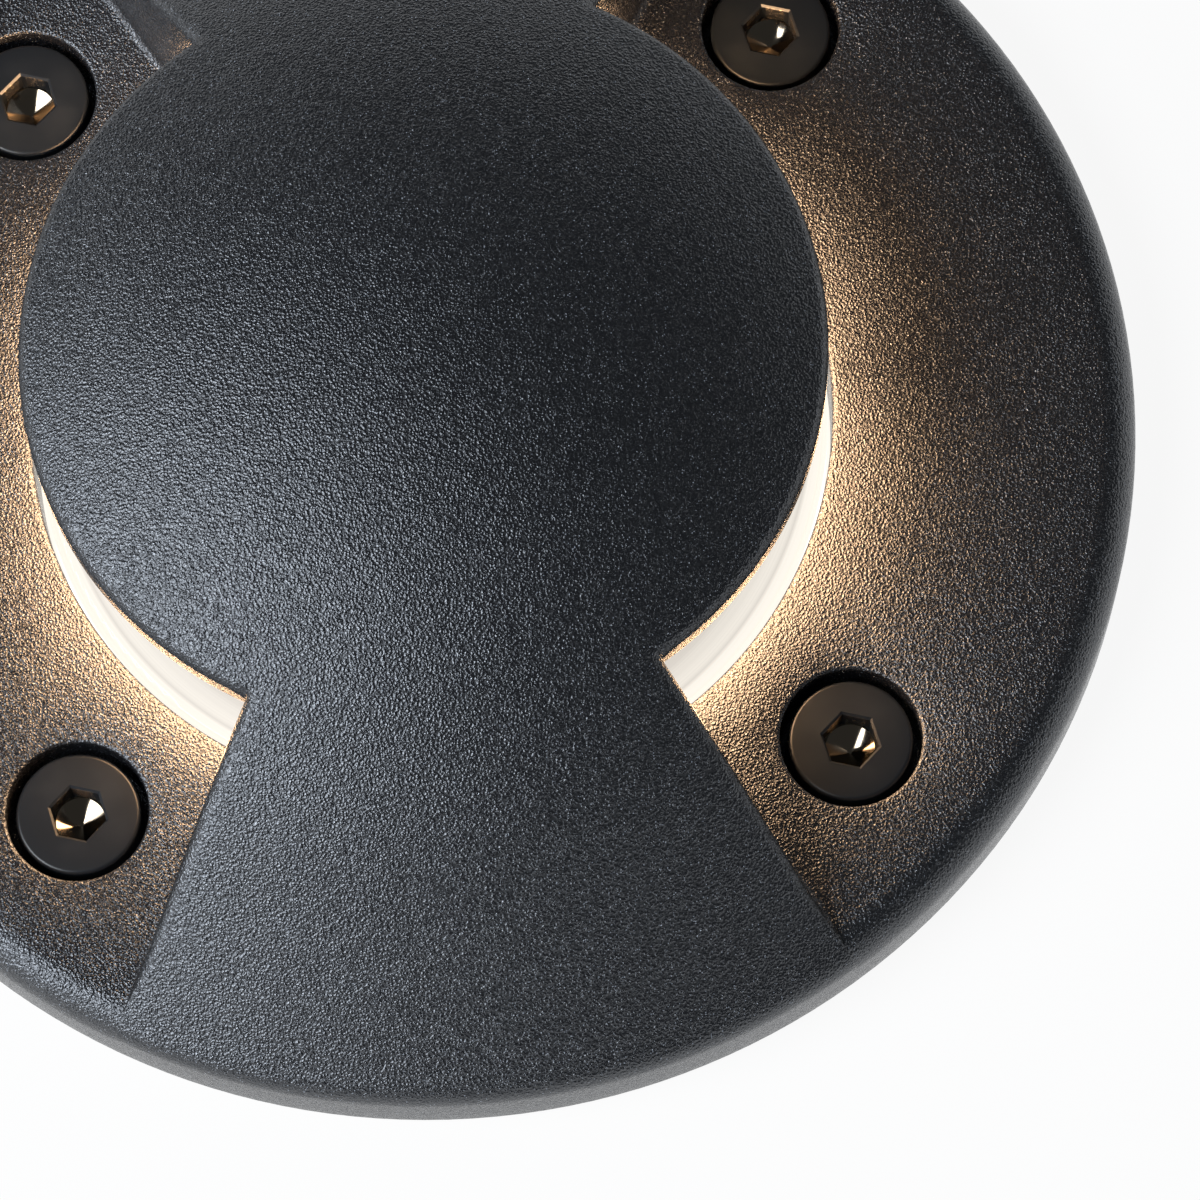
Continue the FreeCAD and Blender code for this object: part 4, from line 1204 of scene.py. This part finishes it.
@dataclass(frozen=True)
class SandCoat(Finish):
    """Thick black powder coat with a leathery sand grain, with painted shade in the grain's hollows,
    painted highlight on its tops and rare painted glint specks.
    """

    # Painted shade and highlight: the paint goes from the first share of its colour in the grain's
    # hollows to the second share on its tops.
    tone_range: Span = (0.45, 1.60)
    shade_height_span: Span = (0.25, 0.95)
    shade_height_share: float = 0.8
    cloud_share: float = 0.2
    dust_colour: Colour = (0.060, 0.055, 0.050)
    dust_scale: float = 900.0
    dust_share: float = 0.06
    # The colour of the painted glint specks.
    glint_speck_colour: Colour = (0.30, 0.33, 0.38)
    crevice_roughness: float = 0.40
    crevice_span: Span = (0.28, 0.52)
    fleck_gloss: float = 0.06

    def fill(self, graph: Graph, shader: Node, place: Socket, effects: Effects) -> None:
        """Add the grain with painted shade in its hollows and painted highlight on its tops, its matt
        crevices, flecks, painted glint specks and a trace of dust.

        Args:
            graph: The material's nodes.
            shader: The principled shader.
            place: The piece's own coordinates.
            effects: The shared effect groups.
        """
        grain = self.use(graph, effects.leather, place, self.grain_scale)
        dust = self.use(graph, effects.dust, place, self.dust_scale)
        low, high = (tuple(tone * c for c in self.colour) for tone in self.tone_range)
        # Painted shade and highlight: the raised grain is painted lighter and its hollows darker,
        # whatever the light.
        raised = graph.span(grain.outputs["Height"], self.shade_height_span, (0.0, self.shade_height_share))
        cloud = graph.sum("MULTIPLY", grain.outputs["Tone"], self.cloud_share)
        paint = graph.blend(graph.sum("ADD", raised, cloud), low, high)
        dusty = graph.sum("MULTIPLY", dust.outputs["Dust"], self.dust_share)
        paint = graph.blend(dusty, paint, self.dust_colour)
        # Painted glints: the rare specks put a light bluish colour on the black coat.
        paint = graph.blend(grain.outputs["GlintSpeck"], paint, self.glint_speck_colour)
        graph.link(paint, shader.inputs["Base Color"])
        dull = graph.span(grain.outputs["Height"], self.crevice_span,
                          (self.crevice_roughness, self.roughness))
        gloss = graph.sum("MULTIPLY", grain.outputs["Fleck"], self.fleck_gloss)
        graph.link(graph.sum("SUBTRACT", dull, gloss), shader.inputs["Roughness"])
        self.raise_surface(graph, shader, grain.outputs["Height"])


@dataclass(frozen=True)
class TurnedMetal(Finish):
    """Metal or plated metal with tool rings and a little tarnish.

    The rings run round the Z axis, or round the four places that lie ring_centre off both axes.
    """

    grain_strength: float = 0.6
    tarnish: Colour = (0.30, 0.27, 0.22)
    tarnish_share: float = 0.45
    ring_centre: float = 0.0
    streak_gloss: float = 0.05
    streak_dulling: float = 0.1

    def ring_place(self, graph: Graph, place: Socket) -> Socket:
        """Fold the four quarters into one and move the rings' middle onto the axis."""
        folded = graph.vector("ABSOLUTE", place)
        return graph.vector("SUBTRACT", folded, (self.ring_centre, self.ring_centre, 0.0))

    def fill(self, graph: Graph, shader: Node, place: Socket, effects: Effects) -> None:
        """Add the rings and the tarnish.

        Args:
            graph: The material's nodes.
            shader: The principled shader.
            place: The piece's own coordinates.
            effects: The shared effect groups.
        """
        rings = self.use(graph, effects.turned, self.ring_place(graph, place), self.grain_scale)
        share = graph.sum("MULTIPLY", rings.outputs["Spot"], self.tarnish_share)
        graph.link(graph.blend(share, self.colour, self.tarnish), shader.inputs["Base Color"])
        worn = (self.roughness - self.streak_gloss, self.roughness + self.streak_dulling)
        graph.link(graph.span(rings.outputs["Streak"], (0.0, 1.0), worn), shader.inputs["Roughness"])
        self.raise_surface(graph, shader, rings.outputs["Height"])


@dataclass(frozen=True)
class Glowing(Finish):
    """A lamp lens or a light-emitting chip, with its light uneven across it."""

    scuff_dulling: float = 0.08
    light: Colour = (1.0, 0.9, 0.76)
    light_rise: float = 1.04
    strength: float = 1.0
    transmission: float = 0.0

    def fill(self, graph: Graph, shader: Node, place: Socket, effects: Effects) -> None:
        """Add the light with its soft mottling, and the skin's slight waviness.

        Args:
            graph: The material's nodes.
            shader: The principled shader.
            place: The piece's own coordinates.
            effects: The shared effect groups.
        """
        grain = self.mould_skin(graph, shader, place, effects)
        brighter = tuple(min(1.0, c * self.light_rise) for c in self.light)
        graph.link(graph.blend(grain.outputs["Tone"], self.light, brighter),
                   shader.inputs["Emission Color"])
        shader.inputs["Base Color"].default_value = (*self.colour, 1.0)
        shader.inputs["Emission Strength"].default_value = self.strength
        shader.inputs["Transmission Weight"].default_value = self.transmission


@dataclass(frozen=True)
class LitDrum(Finish):
    """The lit drum of pressed glass, whose light runs in soft rings towards its edge. Its glow is
    painted light: the glass emits it in place of the lamp's light shining through.
    """

    scuff_dulling: float = 0.08
    inner_light: Colour = (0.80, 0.75, 0.68)
    outer_light: Colour = (1.14, 1.08, 0.98)
    strength: float = 0.86
    brightening: Span = (28.6 * MM, 31.4 * MM)
    ring_scale: float = 1500.0
    ring_contrast: float = 0.5
    # Painted reflection: a darker ring in the glow where the disc's lower edge mirrors in the glass.
    edge_reflection_light: Colour = (0.62, 0.58, 0.53)
    edge_reflection_radius: float = 30.9 * MM
    edge_reflection_width: float = 0.32 * MM
    edge_reflection_share: float = 0.6

    def fill(self, graph: Graph, shader: Node, place: Socket, effects: Effects) -> None:
        """Add the rings of light, the thin darker line inside the edge, which is a painted reflection of
        the disc's lower edge, and the slight waviness.

        Args:
            graph: The material's nodes.
            shader: The principled shader.
            place: The piece's own coordinates.
            effects: The shared effect groups.
        """
        self.mould_skin(graph, shader, place, effects)
        rings = self.use(graph, effects.turned, place, self.ring_scale)
        radius = graph.radius(graph.parts(place))
        streaks = graph.sum("MULTIPLY", graph.sum("SUBTRACT", rings.outputs["Streak"], 0.5),
                            self.ring_contrast)
        share = graph.sum("ADD", graph.span(radius, self.brightening), streaks)
        light = graph.blend(share, self.inner_light, self.outer_light)
        # Painted reflection of the disc's lower edge, blended into the glow as a darker ring.
        away = graph.sum("ABSOLUTE", graph.sum("SUBTRACT", radius, self.edge_reflection_radius))
        line = graph.span(away, (0.0, self.edge_reflection_width), (self.edge_reflection_share, 0.0))
        graph.link(graph.blend(line, light, self.edge_reflection_light), shader.inputs["Emission Color"])
        # Painted light: the glass itself emits the glow.
        shader.inputs["Emission Strength"].default_value = self.strength
        shader.inputs["Base Color"].default_value = (*self.colour, 1.0)


@dataclass(frozen=True)
class StripedJacket(Finish):
    """A wire's jacket with a second colour running along one side."""

    stripe: Colour = (0.75, 0.60, 0.05)
    stripe_edge: Span = (-0.05, 0.05)

    def fill(self, graph: Graph, shader: Node, place: Socket, effects: Effects) -> None:
        """Add the stripe and the jacket's fine grain.

        Args:
            graph: The material's nodes.
            shader: The principled shader.
            place: The piece's own coordinates.
            effects: The shared effect groups.
        """
        grain = self.use(graph, effects.mould, place, self.grain_scale)
        facing = graph.parts(graph.add("ShaderNodeTexCoord").outputs["Normal"])
        side = graph.span(facing[0], self.stripe_edge)
        graph.link(graph.blend(side, self.colour, self.stripe), shader.inputs["Base Color"])
        self.raise_surface(graph, shader, grain.outputs["Height"])


@dataclass(frozen=True)
class WornSocket(TurnedMetal):
    """Black plated metal whose hexagon socket and drilled cone are worn bright by the key."""

    bright: Colour = (0.240, 0.200, 0.150)
    polish: float = 0.09
    rub_scale: float = 3800.0
    rub_span: Span = (0.52, 0.62)
    rub_share: Span = (0.04, 0.70)
    socket_reach: float = 2.15 * MM
    edge_height: float = 138.36 * MM
    cone_height: float = 136.35 * MM

    def fill(self, graph: Graph, shader: Node, place: Socket, effects: Effects) -> None:
        """Add the plating and its rings, then the wear inside the socket.

        Args:
            graph: The material's nodes.
            shader: The principled shader.
            place: The piece's own coordinates.
            effects: The shared effect groups.
        """
        super().fill(graph, shader, place, effects)
        wear = self.use(graph, effects.mould, place, self.rub_scale)
        parts = graph.parts(self.ring_place(graph, place))
        inside = graph.sum("LESS_THAN", graph.radius(parts), self.socket_reach)
        below = graph.sum("LESS_THAN", parts[2], self.edge_height)
        cone = graph.sum("LESS_THAN", parts[2], self.cone_height)
        rubbed = graph.span(wear.outputs["Height"], self.rub_span, self.rub_share)
        share = graph.sum("MULTIPLY", graph.sum("MAXIMUM", rubbed, cone),
                          graph.sum("MULTIPLY", inside, below))
        plated = shader.inputs["Base Color"].links[0].from_socket
        graph.link(graph.blend(share, plated, self.bright), shader.inputs["Base Color"])
        graph.link(share, shader.inputs["Metallic"])
        graph.link(graph.span(share, (0.0, 1.0), (self.roughness, self.polish)),
                   shader.inputs["Roughness"])


SCREW_QUARTERS = {Body.SCREW_1: (1, 1), Body.SCREW_2: (-1, 1),
                  Body.SCREW_3: (-1, -1), Body.SCREW_4: (1, -1)}

FINISHES: dict[str, Finish] = {
    "cover_paint": SandCoat("black_sand_coat", (0.0066, 0.0069, 0.0084), roughness=0.21, specular=1.0,
                            grain_scale=4500.0, grain_depth=0.092 * MM, sheen_tint=(0.88, 0.93, 1.0)),
    "housing_paint": SandCoat("dark_grey_coat", (0.050, 0.050, 0.055), roughness=0.50, specular=0.4,
                              grain_scale=3200.0, grain_depth=0.015 * MM),
    "screw_black": WornSocket("black_plated_screw", (0.0074, 0.0098, 0.0132), roughness=0.34,
                              grain_scale=5200.0, grain_depth=0.002 * MM,
                              tarnish=(0.017, 0.020, 0.024), ring_centre=31.007 * MM),
    "washer_black": Finish("black_washer_rubber", (0.020, 0.020, 0.020), roughness=0.72, specular=0.3,
                           grain_scale=5200.0, grain_depth=0.008 * MM),
    "insert_brass": TurnedMetal("insert_brass", (0.72, 0.53, 0.24), roughness=0.30, metallic=1.0,
                                grain_scale=4800.0, grain_depth=0.006 * MM, tarnish=(0.42, 0.27, 0.12)),
    "silicone": Finish("pale_silicone", (0.62, 0.60, 0.56), roughness=0.62, specular=0.4,
                       grain_scale=3600.0, grain_depth=0.006 * MM),
    "sleeve_plastic": Finish("black_sleeve_plastic", (0.035, 0.035, 0.038), roughness=0.55,
                             specular=0.4, grain_scale=3000.0),
    "lamp_shell": Finish("white_lamp_shell", (0.80, 0.79, 0.76), roughness=0.34,
                         grain_depth=0.004 * MM),
    "board_metal": Finish("white_board_mask", (0.80, 0.80, 0.78), roughness=0.42,
                          grain_scale=4200.0, grain_depth=0.004 * MM),
    "plated_steel": TurnedMetal("zinc_plated_steel", (0.66, 0.66, 0.66), roughness=0.32, metallic=1.0,
                                grain_scale=4600.0, grain_depth=0.004 * MM, tarnish=(0.40, 0.40, 0.38)),
    "holder_ceramic": Finish("holder_ceramic", (0.84, 0.81, 0.74), roughness=0.58, specular=0.4,
                             grain_scale=1900.0, grain_depth=0.014 * MM),
    "contact_brass": TurnedMetal("contact_brass", (0.76, 0.60, 0.30), roughness=0.26, metallic=1.0,
                                 grain_scale=4600.0, grain_depth=0.004 * MM, tarnish=(0.46, 0.32, 0.16)),
    "bracket_steel": TurnedMetal("bracket_steel", (0.60, 0.60, 0.61), roughness=0.36, metallic=1.0,
                                 grain_scale=3200.0, grain_depth=0.006 * MM, tarnish=(0.38, 0.38, 0.37)),
    "terminal_plastic": Finish("terminal_plastic", (0.78, 0.77, 0.72), roughness=0.46,
                               grain_scale=3200.0, grain_depth=0.008 * MM),
    "lead_insulation": Finish("red_brown_sleeving", (0.45, 0.16, 0.07), roughness=0.55, specular=0.4,
                              grain_scale=5200.0),
    "earth_insulation": StripedJacket("green_yellow_jacket", (0.10, 0.36, 0.07), roughness=0.42,
                                      grain_scale=4200.0, grain_depth=0.006 * MM),
    "gland_plastic": Finish("black_gland_nylon", (0.050, 0.050, 0.055), roughness=0.44,
                            grain_scale=3600.0, grain_depth=0.012 * MM),
    "gland_rubber": Finish("black_gland_rubber", (0.030, 0.030, 0.030), roughness=0.74, specular=0.3,
                           grain_scale=4200.0, grain_depth=0.01 * MM),
    "lit_glass": LitDrum("lit_pressed_glass", (0.12, 0.115, 0.11), roughness=0.07,
                         grain_scale=260.0, grain_depth=0.01 * MM),
    "lamp_glass": Glowing("lamp_lens_glass", (0.95, 0.93, 0.88), roughness=0.10, grain_scale=900.0,
                          light=(1.0, 0.88, 0.68), strength=1.6, transmission=0.3),
    "led_yellow": Glowing("led_phosphor", (0.95, 0.80, 0.25), roughness=0.45, grain_scale=3600.0,
                          grain_depth=0.01 * MM, light=(1.0, 0.84, 0.55), strength=3.0),
}


def dress_frame(materials: dict[str, bpy.types.Material]) -> None:
    """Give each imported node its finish.

    Args:
        materials: The material of each slot.
    """
    slots = {part["node"]: part["material_slot"] for part in frame["record"]["subparts"]}
    for name, node in frame["nodes"].items():
        finish = materials[slots[name]]
        if not node.material_slots:
            node.data.materials.append(finish)
        for holder in node.material_slots:
            holder.material = finish
        log.info("%s wears %s", name, finish.name)


@dataclass
class PhotoStage:
    """The paving round the light, the floor, the lamps, the world and the camera."""

    paving: float = 131.98 * MM
    paving_depth: float = 3.0 * MM
    paving_hole: float = 56.2 * MM
    paving_reach: float = 112.0 * MM
    paving_sides: int = 160
    floor_drop: float = 0.2 * MM
    floor_reach: float = 1.9
    floor_sides: int = 96
    cove_steps: int = 12
    cove_round: float = 0.35
    wall_height: float = 0.45
    paper_white: Colour = (0.82, 0.82, 0.82)
    paper_glow: float = 0.92
    azimuth: float = math.radians(1.570)
    elevation: float = math.radians(69.871)
    roll: float = math.radians(-6.893)
    distance: float = 468.2 * MM
    target_height: float = 140.0 * MM
    focal_pixels: float = 5751.7
    target_pixel: Span = (430.8, 407.3)
    frame_pixels: float = 1200.0
    sensor_width: float = 36.0
    clip_start: float = 0.01
    clip_end: float = 20.0
    key_direction: Point = (-0.72, -0.27, 0.64)
    key_distance: float = 1.1
    key_size: float = 0.85
    key_power: float = 19.0
    key_colour: Colour = (0.91, 0.95, 1.0)
    sky_colour: Colour = (0.90, 0.95, 1.0)
    sky: float = 0.08
    glow_colour: Colour = (1.0, 0.61, 0.33)
    glow_power: float = 0.250
    glow_height: float = 150.0 * MM
    glow_radius: float = 30.0 * MM
    edge_glow_radius: float = 34.6 * MM
    edge_glow_height: float = 139.9 * MM
    edge_glow_angles: tuple[float, ...] = (-44.0, 0.0, 44.0, 136.0, 180.0, 224.0)
    edge_glow_size: Span = (22.0 * MM, 2.0 * MM)
    edge_glow_lean: float = -0.1
    edge_glow_power: float = 0.0024

    def paper(self) -> bpy.types.Material:
        """Make the white of the floor and the paving, which keeps a faint shadow.

        Returns:
            The material.
        """
        made = bpy.data.materials.new("white_ground")
        made.use_nodes = True
        made.node_tree.nodes.clear()
        graph = Graph(made.node_tree)
        matt = graph.add("ShaderNodeBsdfDiffuse", Color=(*self.paper_white, 1.0))
        glow = graph.add("ShaderNodeEmission", Color=(1.0, 1.0, 1.0, 1.0), Strength=1.0)
        path = graph.add("ShaderNodeLightPath")
        seen = graph.sum("MAXIMUM", path.outputs["Is Camera Ray"], path.outputs["Is Glossy Ray"])
        seen = graph.sum("MAXIMUM", seen, path.outputs["Is Transmission Ray"])
        mix = graph.add("ShaderNodeMixShader")
        graph.link(graph.sum("MULTIPLY", seen, self.paper_glow), mix.inputs[0])
        graph.link(matt.outputs[0], mix.inputs[1])
        graph.link(glow.outputs[0], mix.inputs[2])
        output = graph.add("ShaderNodeOutputMaterial")
        graph.link(mix.outputs[0], output.inputs["Surface"])
        return made

    def turned(self, name: str, profile: Profile, sides: int) -> bpy.types.Object:
        """Turn a profile round the Z axis.

        Args:
            name: The object's name.
            profile: The radius and height of each ring.
            sides: How many columns go round.

        Returns:
            The object.
        """
        net = SurfaceNet()
        net.strip([[polar(r, 2 * math.pi * (k % sides) / sides, z) for k in range(sides + 1)]
                   for r, z in profile])
        return net.mesh(name)

    def ground(self) -> None:
        """Make the floor that the sleeve stands on and the paving that the rim rests on."""
        paper = self.paper()
        under = self.paving - self.paving_depth
        rings = [(self.paving_hole, self.paving), (self.paving_reach, self.paving),
                 (self.paving_reach, under), (self.paving_hole, under),
                 (self.paving_hole, self.paving)]
        paving = self.turned("paving_cutout", rings, self.paving_sides)
        cove = [(0.0, -self.floor_drop), (self.floor_reach - self.cove_round, -self.floor_drop)]
        for turn in quarter(self.cove_steps)[1:]:
            cove.append((self.floor_reach - self.cove_round * (1 - math.sin(turn)),
                         self.cove_round * (1 - math.cos(turn)) - self.floor_drop))
        cove.append((self.floor_reach, self.wall_height))
        floor = self.turned("studio_cove", cove, self.floor_sides)
        for item in (paving, floor):
            item.data.materials.append(paper)

    def world(self) -> None:
        """Light softly and evenly from all round."""
        world = bpy.data.worlds.new("soft_room")
        bpy.context.scene.world = world
        world.use_nodes = True
        world.node_tree.nodes.clear()
        graph = Graph(world.node_tree)
        soft = graph.add("ShaderNodeBackground", Color=(*self.sky_colour, 1.0), Strength=self.sky)
        output = graph.add("ShaderNodeOutputWorld")
        graph.link(soft.outputs[0], output.inputs["Surface"])

    def area(self, name: str, place: Vector, aim: Vector, size: Span, power: float,
             colour: Colour) -> bpy.types.Object:
        """Add an oval area lamp.

        Args:
            name: The lamp's name.
            place: Where it stands.
            aim: The direction that it shines in.
            size: Its width and height.
            power: Its power in watts.
            colour: Its colour.

        Returns:
            The lamp, hidden from the camera.
        """
        data = bpy.data.lights.new(name, "AREA")
        data.shape = "ELLIPSE"
        data.size, data.size_y = size
        data.energy = power
        data.color = colour
        lamp = bpy.data.objects.new(name, data)
        bpy.context.scene.collection.objects.link(lamp)
        turn = aim.to_track_quat("-Z", "Y").to_matrix().to_4x4()
        lamp.matrix_world = Matrix.Translation(place) @ turn
        lamp.visible_camera = False
        return lamp

    def lamps(self) -> None:
        """Set the soft key lamp, the warm glow under the disc and what it throws on the disc's edge."""
        centre = Vector((0.0, 0.0, self.target_height))
        aim = Vector(self.key_direction).normalized()
        self.area("soft_key", centre + aim * self.key_distance, -aim, (self.key_size, self.key_size),
                  self.key_power, self.key_colour)
        lit = bpy.data.collections.new("lit_by_window_glow")
        for item in bpy.context.scene.objects:
            if item.type == "MESH" and item.name.startswith(("cast_cover", "cap_screw", "screw_washer")):
                lit.objects.link(item)
        place, down = Vector((0.0, 0.0, self.glow_height)), Vector((0.0, 0.0, -1.0))
        size = (2 * self.glow_radius, 2 * self.glow_radius)
        glows = [self.area("window_glow", place, down, size, self.glow_power, self.glow_colour)]
        for number, degrees in enumerate(self.edge_glow_angles, 1):
            turn = math.radians(degrees)
            place = Vector(polar(self.edge_glow_radius, turn, self.edge_glow_height))
            aim = Vector(polar(self.edge_glow_lean, turn, 1.0)).normalized()
            glows.append(self.area(f"edge_glow_{number}", place, aim, self.edge_glow_size,
                                   self.edge_glow_power, self.glow_colour))
        for glow in glows:
            glow.visible_transmission = False
            glow.light_linking.receiver_collection = lit
            glow.parent = frame["bodies"][Body.COVER.value]

    def camera(self) -> None:
        """Set the camera where the photograph was taken from."""
        a, e = self.azimuth, self.elevation
        back = Vector((math.sin(a) * math.cos(e), -math.cos(a) * math.cos(e), math.sin(e)))
        right = Vector((math.cos(a), math.sin(a), 0.0))
        up = back.cross(right)
        turned_right = right * math.cos(self.roll) + up * math.sin(self.roll)
        turned_up = up * math.cos(self.roll) - right * math.sin(self.roll)
        axes = Matrix((turned_right, turned_up, back)).transposed()
        half = self.frame_pixels / 2
        ray = Vector(((self.target_pixel[0] - half) / self.focal_pixels,
                      (half - self.target_pixel[1]) / self.focal_pixels, -1.0)).normalized()
        swing = Vector((0.0, 0.0, -1.0)).rotation_difference(ray).to_matrix()
        data = bpy.data.cameras.new("photo_camera")
        data.sensor_width = self.sensor_width
        data.lens = self.focal_pixels / self.frame_pixels * data.sensor_width
        data.clip_start = self.clip_start
        data.clip_end = self.clip_end
        camera = bpy.data.objects.new("photo_camera", data)
        bpy.context.scene.collection.objects.link(camera)
        place = Vector((0.0, 0.0, self.target_height)) + back * self.distance
        camera.matrix_world = Matrix.Translation(place) @ (axes @ swing.transposed()).to_4x4()
        bpy.context.scene.camera = camera

    def build(self) -> None:
        """Set up everything round the light."""
        self.ground()
        self.world()
        self.lamps()
        self.camera()
        bpy.context.scene.view_settings.view_transform = "Standard"


def main() -> None:
    """Build and dress the light."""
    logging.basicConfig(level=logging.INFO, format="%(message)s")
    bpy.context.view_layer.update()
    effects = Effects()
    materials = {slot: finish.material(effects) for slot, finish in FINISHES.items()}
    dress_frame(materials)
    cover = CoverShell().build()
    cover.data.materials.append(materials["cover_paint"])
    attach(cover, Body.COVER.value)
    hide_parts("cover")
    SocketScrew().place(materials["screw_black"])
    PhotoStage().build()
    bpy.context.view_layer.update()


if __name__ == "__main__":
    main()
